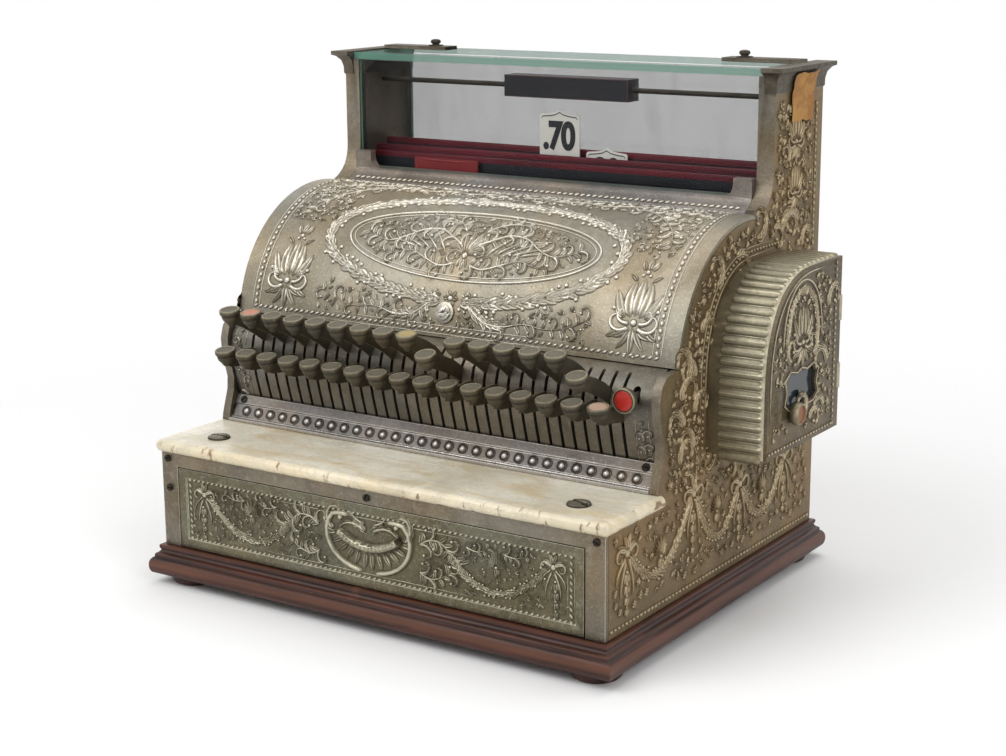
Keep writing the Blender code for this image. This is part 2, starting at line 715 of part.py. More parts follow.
def lily(skin, place, size, scale=(1, 1)):
    """Upright petals between two scrolls, with drooping leaves."""
    petals = []
    for x, y, heading, length, bend in LILY_SHARES:
        path = bent((x * size, y * size), heading, length * size, bend)
        for side in (-1, 1) if x else (1,):
            moved = [Vector((place[0] + side * p.x, place[1] + p.y)) for p in path]
            petals.append(ridge(skin, scaled(moved, *scale), FINE_RIDGE))
    return petals


def lid_relief():
    def skin(u, v, out):
        return Vector((u, *on_lid(LID_FRONT_ANGLE - v / LID_RADIUS, LID_RADIUS + out)))

    scale = (HALF_WIDTH, LID_ARC)
    edge = LID_ROPE_SHARE
    foot, side_foot, top = LID_ROPE_SPAN_SHARES
    lily_place, lily_height, lily_size = LID_LILY_SHARES
    relief = [ridge(skin, scaled(ellipse(*LID_OVAL_SHARES, RING_STEPS), *scale), FINE_RIDGE, True),
              ridge(skin, scaled(ellipse(*LID_WREATH_SHARES, RING_STEPS), *scale), LEAF_RIDGE, True),
              ridge(skin, scaled(straight((-edge, foot), (edge, foot), RELIEF_STEPS), *scale), ROPE_RIDGE)]
    for side in (-1, 1):
        border = straight((side * edge, side_foot), (side * edge, top), LID_STEPS)
        relief.append(ridge(skin, scaled(border, *scale), ROPE_RIDGE))
        relief += lily(skin, (side * lily_place, lily_height), lily_size, scale)
    for x, y, heading, length, bend in LID_RIDGE_SHARES:
        path = bent((x, y), heading, length, bend)
        for side in (-1, 1) if x else (1,):
            relief.append(ridge(skin, scaled([(side * u, v) for u, v in path], *scale), FINE_RIDGE))
    return relief


def side_relief(side):
    def skin(u, v, out):
        return Vector((side * (HALF_WIDTH + out), u, v))

    rope_height = CASE_FOOT + ROPE_INSET
    rope_depth = CABINET_DEPTH - REAR_ROPE_INSET
    relief = [ridge(skin, straight((ROPE_END, rope_height), (CABINET_DEPTH - ROPE_END, rope_height), RELIEF_STEPS),
                    ROPE_RIDGE),
              ridge(skin, straight((rope_depth, SEAM_BOTTOM.y), (rope_depth, CAPITAL_BASE - ROPE_END), RELIEF_STEPS),
                    ROPE_RIDGE)]
    knots = [Vector((CABINET_DEPTH * x, CASE_FOOT + CASE_HEIGHT * z)) for x, z in SIDE_KNOT_SHARES]
    foot = CASE_FOOT + CASE_HEIGHT * SWAG_FOOT_SHARE
    clear = Vector((2 * LEAF_RIDGE, 0))
    for start, end in zip(knots, knots[1:]):
        low = ((start.x + end.x) / 2, foot)
        relief.append(ridge(skin, bezier(start + clear, low, end - clear, 2 * RELIEF_STEPS), LEAF_RIDGE))
    for knot in knots:
        relief.append(ridge(skin, bent(knot, -90, CASE_HEIGHT * DROP_SHARE, 0), LEAF_RIDGE))
    for across, up in TOWER_LILY_SHARES:
        place = (TOWER_FRONT + TOWER_DEPTH * across, SILL + (CAPITAL_BASE - SILL) * up)
        relief += lily(skin, place, TOWER_LILY_SIZE)
    if side < 0:
        middle = LID_CENTRE + Vector((0, LID_RADIUS * SIDE_RING_LIFT_SHARE))
        radii = [LID_RADIUS * share for share in SIDE_RING_SHARES]
        relief.append(ridge(skin, ellipse(middle, radii, RING_STEPS), LEAF_RIDGE, True))
        relief += lily(skin, middle, LID_RADIUS * SIDE_LILY_SHARE)
    else:
        relief.append(ridge(skin, printer_line(-RIM_OUTSET), ROPE_RIDGE))
    return relief


def drawer_relief(half, low, high):
    def skin(u, v, out):
        return Vector((u, DRAWER_SET_BACK + DRAWER_FIELD - out, low + v))

    size = high - low
    reach, lift, sag = DRAWER_PULL_SHARES
    pull = bezier((-reach * half, lift * size), (0, (lift - sag) * size), (reach * half, lift * size), 2 * RELIEF_STEPS)
    relief = [ridge(skin, pull, LEAF_RIDGE, height=PULL_HEIGHT)]
    for side in (-1, 1):
        start, bend, end = [(side * x * half, z * size) for x, z in DRAWER_SWAG_SHARES]
        relief.append(ridge(skin, bezier(start, bend, end, 2 * RELIEF_STEPS), FINE_RIDGE))
        for x, z, heading, length, turn in DRAWER_RIDGE_SHARES:
            path = bent((x * half, z * size), heading, length * size, turn)
            relief.append(ridge(skin, [Vector((side * p.x, p.y)) for p in path], FINE_RIDGE))
    return relief


def make_plinth():
    profile = [(PLINTH_OVERHANG * out,) * 4 + (FOOT_HEIGHT + PLINTH_HEIGHT * up,)
               for out, up in reversed(PLINTH_SHARES)]
    plinth = moulded_block("plinth_block", (-HALF_WIDTH, 0), (HALF_WIDTH, CABINET_DEPTH), profile)
    recess = box("plinth_recess", (PLINTH_RIM - HALF_WIDTH, PLINTH_RIM, 0),
                 (HALF_WIDTH - PLINTH_RIM, CABINET_DEPTH - PLINTH_RIM, FOOT_HEIGHT + PLINTH_RECESS))
    turning = [(FOOT_RADIUS * out, FOOT_HEIGHT * up) for out, up in FOOT_SHARES]
    turning.insert(0, (turning[0][0], FOOT_HEIGHT + OVERRUN))
    for x in (FOOT_INSET - HALF_WIDTH, HALF_WIDTH - FOOT_INSET):
        for y in (FOOT_INSET, CABINET_DEPTH - FOOT_INSET):
            join(plinth, turned("foot", turning, FOOT_SIDES, (0, 0, 1), (x, y, 0)))
    finish(cut(plinth, recess), "plinth", "mahogany")


def make_front_frame():
    top = CASE_TOP - GAP
    outline = [(-HALF_WIDTH, CASE_FOOT), (-OPENING_HALF, CASE_FOOT), (-OPENING_HALF, OPENING_TOP),
               (OPENING_HALF, OPENING_TOP), (OPENING_HALF, CASE_FOOT), (HALF_WIDTH, CASE_FOOT),
               (HALF_WIDTH, top), (-HALF_WIDTH, top)]
    plate = slab("front_plate", "Y", 0, FRAME_PLATE, outline)
    deck = box("deck", (-ROOM_HALF, FRAME_PLATE - OVERLAP, top - DECK_THICKNESS),
               (ROOM_HALF, CABINET_DEPTH - REAR_POST_DEPTH - GAP, top))
    finish(join(plate, deck), "front_frame", "nickel")


def side_outline():
    front = FRAME_PLATE + GAP
    behind_marble = MARBLE_BACK + GAP
    under_lid = arc(LID_CENTRE, LID_INNER - GAP, SEAM_END_ANGLE, CORNER_ANGLE, LID_STEPS)
    return ([(front, CASE_FOOT), (CABINET_DEPTH, CASE_FOOT), (CABINET_DEPTH, CAPITAL_BASE + OVERLAP),
             (TOWER_FRONT, CAPITAL_BASE + OVERLAP)] + FILLET_LINE[::-1] + under_lid + STRIP_LINE
            + [(behind_marble, MARBLE_TOP + GAP), (behind_marble, CASE_TOP - GAP), (front, CASE_TOP - GAP)])


def side_hollow():
    """The room inside a side casting, which leaves its wall, its front strip and its posts."""
    back_line = [p + Vector((STRIP_DEPTH, -STRIP_DROP)) for p in STRIP_LINE]
    ahead = SHOULDER.x - STRIP_DEPTH
    behind = CABINET_DEPTH + OVERRUN
    post_back = TOWER_FRONT + POST_DEPTH
    rear_post = CABINET_DEPTH - REAR_POST_DEPTH
    fillet = SEAM_TOP.x + OVERLAP
    above_lid = LID_CENTRE.y + LID_RADIUS + OVERRUN
    return ([(-OVERRUN, 0), (behind, 0), (behind, SILL), (rear_post, SILL), (rear_post, CAPITAL_BASE),
             (post_back, CAPITAL_BASE), (post_back, SILL - SILL_THICKNESS),
             (fillet, SEAM_BOTTOM.y - STRIP_DROP), (fillet, above_lid), (ahead, above_lid),
             (ahead, SHOULDER.y + GAP)] + back_line + [(-OVERRUN, back_line[-1].y)])


def make_capital(name, side, across):
    """A flared block on the posts, with the ledge under the top glass and the arm that clamps it."""
    inner = HALF_WIDTH - REAR_POST_WIDTH
    profile = []
    for out, up in CAPITAL_SHARES:
        flare = CAPITAL_FLARE * out
        sides = (0, flare) if side > 0 else (flare, 0)
        profile.append((*sides, flare, REAR_FLARE * out, CAPITAL_BASE + CAPITAL_HEIGHT * up))
    low, high = across(inner, HALF_WIDTH)
    block = moulded_block(name, (low, TOWER_FRONT), (high, CABINET_DEPTH), profile)
    low, high = across(HALF_WIDTH - POST_WIDTH, inner + OVERLAP)
    ledge = box(name + "_ledge", (low, TOWER_FRONT, CAPITAL_BASE - OVERLAP),
                (high, TOWER_FRONT + POST_DEPTH, GLASS_FLOOR - GAP))
    low, high = across(inner - ARM_REACH, inner + OVERRUN)
    front = TOWER_FRONT + ARM_DEPTH - ARM_WIDTH / 2
    arm = box(name + "_arm", (low, front, GLASS_TOP + GAP),
              (high, front + ARM_WIDTH, GLASS_TOP + GAP + ARM_THICKNESS))
    return block, ledge, arm


def make_side(name, side):
    def across(inner, outer):
        return sorted((side * inner, side * outer))

    post_inner = HALF_WIDTH - POST_WIDTH
    beyond_inner = post_inner - OVERRUN
    casting = slab(name, "X", *across(post_inner, HALF_WIDTH), side_outline())
    hollow = slab(name + "_hollow", "X", *across(beyond_inner, INNER_HALF), side_hollow())
    low, high = across(beyond_inner, HALF_WIDTH - STRIP_WIDTH)
    strip_room = box(name + "_strip_room", (low, -OVERRUN, 0), (high, LID_CENTRE.x, SHOULDER.y + OVERLAP))
    low, high = across(beyond_inner, HALF_WIDTH - REAR_POST_WIDTH)
    post_room = box(name + "_post_room", (low, TOWER_FRONT + POST_DEPTH + OVERRUN, SILL - OVERRUN),
                    (high, CABINET_DEPTH + OVERRUN, CAPITAL_TOP))
    cut(casting, hollow, strip_room, post_room)
    outward = (side, 0, 0)
    boss = rod(name + "_boss", outward, (side * (INNER_HALF - BOSS_LENGTH), *PIVOT), BOSS_LENGTH + OVERLAP,
               BOSS_RADIUS, SHAFT_SIDES)
    bore = rod(name + "_bore", outward, (side * (INNER_HALF - BOSS_LENGTH - OVERRUN), *PIVOT),
               BOSS_LENGTH + OVERRUN + 2 * OVERLAP, bore_radius(SHAFT_RADIUS, SHAFT_SIDES), SHAFT_SIDES)
    cut(join(casting, boss), bore)
    join(casting, *make_capital(name + "_capital", side, across))
    if side > 0:
        inset = Vector((OVERLAP, 0, 0))
        join(casting,
             rod("spindle", outward, SPINDLE - inset, SPINDLE_LENGTH + OVERLAP, SPINDLE_RADIUS, SHAFT_SIDES),
             rod("roller", outward, ROLLER - inset, ROLLER_LENGTH + OVERLAP, ROLLER_RADIUS, SHAFT_SIDES))
    join(casting, *side_relief(side))
    finish(casting, name, "nickel" if side < 0 else "olive_nickel")


def make_back_cover():
    top = SILL - GAP
    back = CABINET_DEPTH - BACK_BORDER
    front = back - BACK_PLATE
    outline = rectangle(-ROOM_HALF, CASE_FOOT, ROOM_HALF, top)
    field = rectangle(BACK_BORDER_WIDTH - ROOM_HALF, CASE_FOOT + BACK_BORDER_WIDTH,
                      ROOM_HALF - BACK_BORDER_WIDTH, top - BACK_BORDER_WIDTH)
    cover = slab("back_plate", "Y", front, back, outline)
    border = slab("back_border", "Y", back - OVERLAP, CABINET_DEPTH, outline, field)
    ledge = box("back_ledge", (-ROOM_HALF, front - PANE - SILL_THICKNESS, top - SILL_THICKNESS),
                (ROOM_HALF, front + OVERLAP, top))
    finish(join(cover, border, ledge), "back_cover", "nickel")


def make_marble():
    half = HALF_WIDTH + MARBLE_OVERHANG
    marble = box("marble", (-half, -MARBLE_OVERHANG, CASE_TOP), (half, MARBLE_BACK, MARBLE_TOP))
    rounding = marble.modifiers.new("rounding", "BEVEL")
    rounding.width = MARBLE_ROUNDING
    rounding.segments = 2
    finish(marble, "marble_shelf", "marble")


def make_stud_rail():
    foot = Vector((MARBLE_BACK - RAIL_SEAT, MARBLE_TOP + GAP))
    start = foot + Vector((RAIL_STEP_IN, RAIL_FOOT_HEIGHT))
    slope = Vector((RAIL_RUN, RAIL_RISE))
    inward = Vector((slope.y, -slope.x)).normalized() * RAIL_GROOVE
    face = [start + slope * along + inward * deep for along, deep in RAIL_SHARES]
    back = start.x + RAIL_THICKNESS
    outline = [foot, foot + Vector((0, RAIL_FOOT_HEIGHT))] + face + [
        face[-1] + Vector((OVERLAP, 0)), Vector((back, start.y)), Vector((back, foot.y))]
    finish(slab("stud_rail", "X", -COMB_HALF, COMB_HALF, outline), "stud_rail", "bright_nickel")


def comb_sheet():
    """The comb's open sheet, drawn as its front profile and swept from side to side."""
    edge = below_shoulder(0, 0) - Vector((0, GAP))
    line = [edge + Vector((COMB_SHELF, 0)), edge] + [below_shoulder(*shares) for shares in COMB_SHARES]
    line.append(Vector((line[-1].x, CASE_TOP)))
    bm = bmesh.new()
    verts = [bm.verts.new((-COMB_HALF, p.x, p.y)) for p in line]
    edges = [bm.edges.new(pair) for pair in zip(verts, verts[1:])]
    swept = bmesh.ops.extrude_edge_only(bm, edges=edges)["geom"]
    far = [v for v in swept if isinstance(v, bmesh.types.BMVert)]
    bmesh.ops.translate(bm, vec=(2 * COMB_HALF, 0, 0), verts=far)
    sheet = add_object("comb_sheet", mesh_from(bm, "comb_sheet"))
    thickness = sheet.modifiers.new("thickness", "SOLIDIFY")
    thickness.thickness = COMB_THICKNESS
    thickness.offset = 1
    thickness.use_even_offset = True
    return sheet


def make_comb():
    back = SHOULDER.x - SLOT_END
    head = SHOULDER.y - SLOT_HEAD
    foot = MARBLE_TOP + SLOT_FOOT
    bm = bmesh.new()
    for x in KEY_PLACES:
        slot = bmesh.ops.create_cube(bm, size=1)["verts"]
        bmesh.ops.scale(bm, vec=(SLOT_WIDTH, STRIP_PROJECTION, head - foot), verts=slot)
        bmesh.ops.translate(bm, vec=(x, back - STRIP_PROJECTION / 2, (head + foot) / 2), verts=slot)
    slots = add_object("comb_slots", mesh_from(bm, "comb_slots"))
    radius = ARCH_WIDTH / 2
    crown = BUTTON_HEIGHT + radius
    arch_foot = crown + radius - ARCH_HEIGHT
    outline = [(BUTTON_PLACE - radius, arch_foot), (BUTTON_PLACE + radius, arch_foot)]
    outline += arc((BUTTON_PLACE, crown), radius, 0, math.pi, ARCH_STEPS)
    arch = slab("button_arch", "Y", back - STRIP_PROJECTION, back + OVERRUN, outline)
    finish(cut(comb_sheet(), slots, arch), "key_comb", "nickel")


def make_shaft():
    half = INNER_HALF + OVERLAP
    finish(rod("shaft", (1, 0, 0), (-half, *PIVOT), 2 * half, SHAFT_RADIUS, SHAFT_SIDES), "key_shaft", "steel")


def lever_mesh(name, reach, rise, top_shares, foot_shares):
    """A lever drawn round its pivot: blade, bore and tail in one outline, joined by a turned cap."""
    top = [Vector((-reach * ahead, rise * up)) for ahead, up in top_shares]
    foot = [Vector((-reach * ahead, rise * up)) for ahead, up in foot_shares]
    hub_top = [Vector((math.cos(a), math.sin(a))) * HUB_RADIUS for a in HUB_TOP_ANGLES]
    hub_foot = [Vector((math.cos(a), math.sin(a))) * HUB_RADIUS for a in HUB_FOOT_ANGLES]
    tail = [Vector((TAIL_LENGTH, TAIL_WIDTH / 2 - TAIL_DROP)), Vector((TAIL_LENGTH, -TAIL_WIDTH / 2 - TAIL_DROP))]
    hole = arc((0, 0), bore_radius(SHAFT_RADIUS, BORE_SIDES), 0, 2 * math.pi, BORE_SIDES)[:-1]
    blade = slab(name, "X", -BLADE / 2, BLADE / 2, top + hub_top + tail + hub_foot + foot, hole)
    turning = [(CAP_RADIUS * out, CAP_HEIGHT * (up - 1)) for out, up in CAP_SHARES]
    facing = (0, -math.sin(CAP_TILT), math.cos(CAP_TILT))
    cap = turned(name + "_cap", turning, CAP_SIDES, facing, (0, -reach, rise))
    mesh = evaluated_mesh(join(blade, cap))
    for guide in (blade, cap):
        bpy.data.objects.remove(guide, do_unlink=True)
    return mesh


def make_keys():
    lower = lever_mesh("lower_lever", LOWER_REACH, LOWER_RISE, LOWER_TOP_SHARES, LOWER_FOOT_SHARES)
    upper = lever_mesh("upper_lever", UPPER_REACH, UPPER_RISE, UPPER_TOP_SHARES, UPPER_FOOT_SHARES)
    for slot, x in enumerate(KEY_PLACES):
        row, mesh = ("upper", upper) if slot % 2 else ("lower", lower)
        number = slot // 2 + 1
        key = bpy.data.objects.new(f"key_{row}_{number:02d}", mesh)
        parts.objects.link(key)
        key.parent = stand
        key.location = (x, *PIVOT)
        if row == "upper" and number in PRESSED_KEYS:
            key.rotation_euler.x = PRESS_ANGLE
        paint(key, "salmon_key" if key.name in SALMON_KEYS else "key_bronze")
        nodes.append(key)


def make_button():
    inner = BUTTON_RADIUS - BUTTON_RIM
    profile = [(inner, -BUTTON_RIM), (inner, 0), (BUTTON_RADIUS, 0),
               (BUTTON_RADIUS, -BUTTON_THICKNESS * BUTTON_SKIRT_SHARE), (inner, -BUTTON_THICKNESS),
               (STEM_RADIUS, -BUTTON_THICKNESS), (STEM_RADIUS, -BUTTON_LENGTH)]
    button = turned("button", profile, BUTTON_SIDES, (0, -1, 0), (BUTTON_PLACE, BUTTON_DEPTH, BUTTON_HEIGHT))
    finish(button, "release_button", "red_enamel")


def knuckle_with_pin(name, axis, start, length, radius):
    """A hinge barrel with a thinner pin that stands out at both its ends."""
    axis, start = Vector(axis), Vector(start)
    barrel = rod(name, axis, start, length, radius, HINGE_SIDES)
    pin = rod(name + "_pin", axis, start - axis * PIN_LENGTH, length + 2 * PIN_LENGTH, PIN_RADIUS, PIN_SIDES)
    return barrel, pin


def hinge_cutters(name, axis, start, length, radius):
    """The notch for such a barrel and the hole for its pin."""
    axis, start = Vector(axis), Vector(start)
    reach = radius + SLIDE_GAP
    around = Vector((reach, reach, reach)) - axis * reach
    low, high = start - axis * GAP - around, start + axis * (length + GAP) + around
    beyond = PIN_LENGTH + 2 * GAP
    hole = rod(name + "_pin_hole", axis, start - axis * beyond, length + 2 * beyond, PIN_HOLE, PIN_SIDES)
    return box(name + "_notch", low, high), hole


LID_KNUCKLES = [(x - HINGE_LENGTH / 2, *HINGE) for x in (HINGE_INSET - HALF_WIDTH, HALF_WIDTH - HINGE_INSET)]


def make_lid():
    outer = arc(LID_CENTRE, LID_RADIUS, LID_FRONT_ANGLE, LID_SEAM_ANGLE, LID_STEPS)
    bead = arc(HINGE, LID_THICKNESS / 2, LID_SEAM_ANGLE, LID_SEAM_ANGLE - math.pi, PIN_SIDES)
    inner = arc(LID_CENTRE, LID_INNER, LID_SEAM_ANGLE, LID_FRONT_ANGLE, LID_STEPS)
    lid = slab("lid", "X", -HALF_WIDTH, HALF_WIDTH, outer + bead[1:-1] + inner)
    for start in LID_KNUCKLES:
        cut(lid, *hinge_cutters("lid_hinge", (1, 0, 0), start, HINGE_LENGTH, HINGE_BARREL))
    beneath = Vector((0, *LOCK_SEAT)) - LOCK_OUTWARD * (LID_THICKNESS + OVERRUN)
    lock_hole = rod("lid_lock_hole", LOCK_OUTWARD, beneath, LID_THICKNESS + 2 * OVERRUN,
                    LOCK_RADIUS + SLIDE_GAP, BUTTON_SIDES)
    join(lid, *lid_relief())
    finish(cut(lid, lock_hole), "lid", "nickel", (0, *HINGE))


def make_lid_lock():
    end = LOCK_PROUD - LOCK_LENGTH
    rim = GAP + LOCK_RIM_HEIGHT
    profile = [(LOCK_RADIUS, LOCK_PROUD), (LOCK_RADIUS, rim), (LOCK_RIM, rim), (LOCK_RIM, GAP), (LOCK_RADIUS, GAP),
               (LOCK_RADIUS, end), (LOCK_NECK, end), (LOCK_NECK, end - CAM_THICKNESS - OVERLAP)]
    place = (0, *LOCK_SEAT)
    lock = turned("lock", profile, BUTTON_SIDES, LOCK_OUTWARD, place)
    reach = LOCK_RADIUS + OVERRUN
    slot = box("lock_slot", (-reach, -LOCK_SLOT / 2, LOCK_PROUD - LOCK_SLOT_DEPTH),
               (reach, LOCK_SLOT / 2, LOCK_PROUD + OVERRUN))
    cam = box("lock_cam", (-LOCK_NECK, -CAM_WIDTH / 2, end - CAM_THICKNESS), (CAM_LENGTH, CAM_WIDTH / 2, end))
    for guide in (slot, cam):
        guide.matrix_local = Matrix.Translation(place) @ turn_to(LOCK_OUTWARD)
    finish(join(cut(lock, slot), cam), "lid_lock", "bright_nickel")


def make_window_frame():
    half = HALF_WIDTH - POST_WIDTH - GAP
    rise = [p for p in FILLET_LINE if p.y < SILL - GAP]
    under = [p + Vector((LID_THICKNESS / 2, -LID_THICKNESS)) for p in rise[:0:-1]]
    sill_front = rise[-1].x + OVERLAP
    sill_back = TOWER_FRONT + SILL_DEPTH
    sill = [(sill_front, SILL), (sill_back, SILL), (sill_back, SILL - SILL_THICKNESS),
            (TOWER_FRONT, SILL - SILL_THICKNESS)]
    frame = slab("window_strip", "X", -half, half, rise + sill + under + [SEAM_BOTTOM])
    inner = half - PAD_WIDTH
    hollow = bezier((inner, SILL + PAD_FOOT), (inner, SILL), (inner - PAD_FOOT, SILL), PAD_STEPS)
    pad = [(half, SILL - OVERLAP), (half, SILL + PAD_HEIGHT), (inner, SILL + PAD_HEIGHT)] + hollow
    pad.append((inner - PAD_FOOT, SILL - OVERLAP))
    for side in (-1, 1):
        outline = [(side * x, z) for x, z in pad]
        join(frame, slab("pad", "Y", sill_front, sill_front + PAD_DEPTH, outline))
    for start in LID_KNUCKLES:
        leaf = box("hinge_leaf", Vector(start) - Vector((0, 0, LID_THICKNESS / 2)),
                   (start[0] + HINGE_LENGTH, SEAM_TOP.x + 2 * OVERLAP, HINGE.y + LID_THICKNESS / 4))
        join(frame, leaf, *knuckle_with_pin("lid_knuckle", (1, 0, 0), start, HINGE_LENGTH, HINGE_BARREL))
    finish(frame, "window_frame", "nickel")


def make_glass():
    floor = SILL + GAP
    half = HALF_WIDTH - POST_WIDTH - GAP
    front = TOWER_FRONT + PANE_SET_BACK
    finish(box("front_pane", (-half, front, floor), (half, front + PANE, GLASS_FLOOR - GAP)),
           "front_glass", "glass")
    half = HALF_WIDTH - REAR_POST_WIDTH - GAP
    back = CABINET_DEPTH - PANE_SET_BACK
    finish(box("rear_pane", (-half, back - PANE, floor), (half, back, GLASS_FLOOR - GAP)),
           "rear_glass", "glass")
    finish(box("top_pane", (-half, TOWER_FRONT, GLASS_FLOOR), (half, CABINET_DEPTH, GLASS_TOP)),
           "top_glass", "glass")


def flag_slot(x, depth, width):
    half, deep = width / 2 + SLIDE_GAP, FLAG_THICKNESS / 2 + SLIDE_GAP
    return box("flag_slot", (x - half, depth - deep, INDICATOR_BASE - OVERRUN),
               (x + half, depth + deep, INDICATOR_BASE + INDICATOR_FLOOR + OVERLAP))


def make_indicator_rail():
    """Three round-topped bars on a common floor, each a step higher than the one before."""
    floor = INDICATOR_BASE + INDICATOR_FLOOR
    radius = BAR_THICKNESS / 2
    outline = [(INDICATOR_FRONT, floor), (INDICATOR_FRONT, INDICATOR_BASE),
               (THIRD_BAR + BAR_THICKNESS, INDICATOR_BASE)]
    for step, front in ((2, THIRD_BAR), (1, SECOND_BAR), (0, FIRST_BAR)):
        top = INDICATOR_BASE + BAR_HEIGHT + BAR_STEP * step
        if step < 2:
            outline.append((front + BAR_THICKNESS, floor))
        outline += arc((front + radius, top - radius), radius, 0, math.pi, 4)
        outline.append((front, floor))
    rail = slab("indicator", "X", -ROOM_HALF, ROOM_HALF, outline)
    cut(rail, flag_slot(AMOUNT_PLACE, FLAG_DEPTH, FLAG_WIDTH), flag_slot(SECOND_PLACE, FLAG_DEPTH, FLAG_WIDTH),
        flag_slot(CREDIT_PLACE, CREDIT_DEPTH, CREDIT_WIDTH))
    finish(rail, "indicator_rail", "crimson")


def make_flag(name, finish_name, place, width, foot, head):
    """A thin flag between its foot and its head line, on the rod that lifts it."""
    x, depth = place
    half, rod_half, rod_foot = width / 2, FLAG_ROD / 2, foot - FLAG_ROD_LENGTH
    outline = head + [(x - half, foot), (x - rod_half, foot), (x - rod_half, rod_foot),
                      (x + rod_half, rod_foot), (x + rod_half, foot), (x + half, foot)]
    flag = slab(name, "Y", depth - FLAG_THICKNESS / 2, depth + FLAG_THICKNESS / 2, outline)
    finish(flag, name, finish_name, (x, depth, foot))


def make_number_flag(name, x, top):
    rise = [(x + FLAG_WIDTH / 2 * out, top - FLAG_OGEE * (1 - up)) for out, up in OGEE_SHARES]
    fall = [(2 * x - a, b) for a, b in rise[-2::-1]]
    make_flag(name, "white_enamel", (x, FLAG_DEPTH), FLAG_WIDTH, top - FLAG_HEIGHT, rise + fall)


def make_credit_flag():
    half, top = CREDIT_WIDTH / 2, INDICATOR_BASE + CREDIT_HEIGHT
    head = [(CREDIT_PLACE + half, top), (CREDIT_PLACE - half, top)]
    make_flag("flag_credit", "red_enamel", (CREDIT_PLACE, CREDIT_DEPTH), CREDIT_WIDTH, INDICATOR_BASE, head)


def make_sign():
    place = Vector((SIGN_PLACE, SIGN_DEPTH, SIGN_HEIGHT))
    half = Vector((SIGN_LENGTH, SIGN_BLOCK, SIGN_BLOCK)) / 2
    block = box("sign_block", place - half, place + half)
    bar = rod("sign_rod", (1, 0, 0), (-ROOM_HALF, SIGN_DEPTH, SIGN_HEIGHT), 2 * ROOM_HALF, SIGN_ROD, HINGE_SIDES)
    finish(join(block, bar), "sign_bar", "black", place)


def make_drawer():
    half = OPENING_HALF - SLIDE_GAP
    foot, top = CASE_FOOT + SLIDE_GAP, OPENING_TOP - SLIDE_GAP
    plate = slab("drawer_plate", "Y", DRAWER_SET_BACK, DRAWER_SET_BACK + DRAWER_PLATE,
                 rectangle(-half, foot, half, top))
    reach, low, high = half - DRAWER_BORDER, foot + DRAWER_BORDER, top - DRAWER_BORDER
    field = box("drawer_field", (-reach, -OVERRUN, low), (reach, DRAWER_SET_BACK + DRAWER_FIELD, high))
    join(cut(plate, field), *drawer_relief(reach, low, high))
    finish(plate, "drawer_front", "olive_nickel")


def make_tray():
    half = OPENING_HALF - TRAY_SIDE_ROOM
    tray = box("tray", (-half, TRAY_FRONT, CASE_FOOT), (half, TRAY_BACK, TRAY_TOP))
    bay = (2 * half - 2 * TRAY_WALL - (TRAY_BAYS - 1) * TRAY_DIVIDER) / TRAY_BAYS
    floor = CASE_FOOT + TRAY_FLOOR
    coin_front = TRAY_FRONT + TRAY_WALL
    coin_back = coin_front + COIN_DEPTH
    for i in range(TRAY_BAYS):
        left = TRAY_WALL - half + i * (bay + TRAY_DIVIDER)
        cup = box("coin_cup", (left, coin_front, floor), (left + bay, coin_back, TRAY_TOP + 2 * COIN_ROUNDING))
        rounding = cup.modifiers.new("rounding", "BEVEL")
        rounding.width = COIN_ROUNDING
        rounding.segments = 2
        notes = box("note_bay", (left, coin_back + TRAY_DIVIDER, floor),
                    (left + bay, TRAY_BACK - TRAY_WALL, TRAY_TOP + OVERRUN))
        cut(tray, cup, notes)
    finish(tray, "drawer_tray", "tray_wood")


def printer_line(inset):
    """The printer box's outline from its bottom front corner, up and over to its top rear corner."""
    deep, high = PRINTER_CURVE_DEPTH - inset, PRINTER_CURVE_HEIGHT - inset
    centre = Vector((PRINTER_FRONT + PRINTER_CURVE_DEPTH, PRINTER_TOP - PRINTER_CURVE_HEIGHT))
    power = 2 / PRINTER_CURVE_POWER
    line = [Vector((PRINTER_FRONT + inset, PRINTER_FLOOR + inset))]
    for i in range(PRINTER_STEPS + 1):
        a = math.pi / 2 * i / PRINTER_STEPS
        line.append(centre + Vector((-deep * abs(math.cos(a)) ** power, high * math.sin(a) ** power)))
    return line + [Vector((PRINTER_BACK - inset, PRINTER_TOP - inset))]


def point_along(line, distance):
    """The point at a distance along a line of points, and the direction there."""
    for a, b in zip(line, line[1:]):
        step = (b - a).length
        if distance <= step:
            return a + (b - a) * distance / step, (b - a).normalized()
        distance -= step
    return line[-1], (line[-1] - line[-2]).normalized()


def cover_ribs(start, end):
    """Half-round ribs with drawn-in ends, square to the box's outline and evenly spaced along it."""
    line = printer_line(0)
    length = sum((b - a).length for a, b in zip(line, line[1:]))
    radius = RIB_WIDTH / 2
    tip = radius * RIB_END_SHARE
    bm = bmesh.new()
    for i in range(RIB_COUNT):
        place, along = point_along(line, length * (i + 1) / (RIB_COUNT + 1))
        bar = bmesh.new()
        bmesh.ops.create_cone(bar, cap_ends=True, segments=RIB_SIDES, radius1=radius, radius2=radius,
                              depth=end - start)
        bar.normal_update()
        caps = [f for f in bar.faces if len(f.verts) == RIB_SIDES]
        bmesh.ops.inset_individual(bar, faces=caps, thickness=tip, depth=tip)
        frame = Matrix(((0, 0, 1, (start + end) / 2), (along.x, -along.y, 0, place.x),
                        (along.y, along.x, 0, place.y), (0, 0, 0, 1)))
        bar.transform(frame @ Matrix.Diagonal((1, RIB_PROUD / radius, 1, 1)))
        rib = mesh_from(bar, "rib")
        bm.from_mesh(rib)
        bpy.data.meshes.remove(rib)
    return add_object("cover_ribs", mesh_from(bm, "cover_ribs"))


DOOR_KNUCKLES = [(*DOOR_HINGE, z) for z in (PRINTER_FLOOR + DOOR_HINGE_INSET,
                                            PRINTER_TOP - DOOR_HINGE_INSET - DOOR_HINGE_LENGTH)]


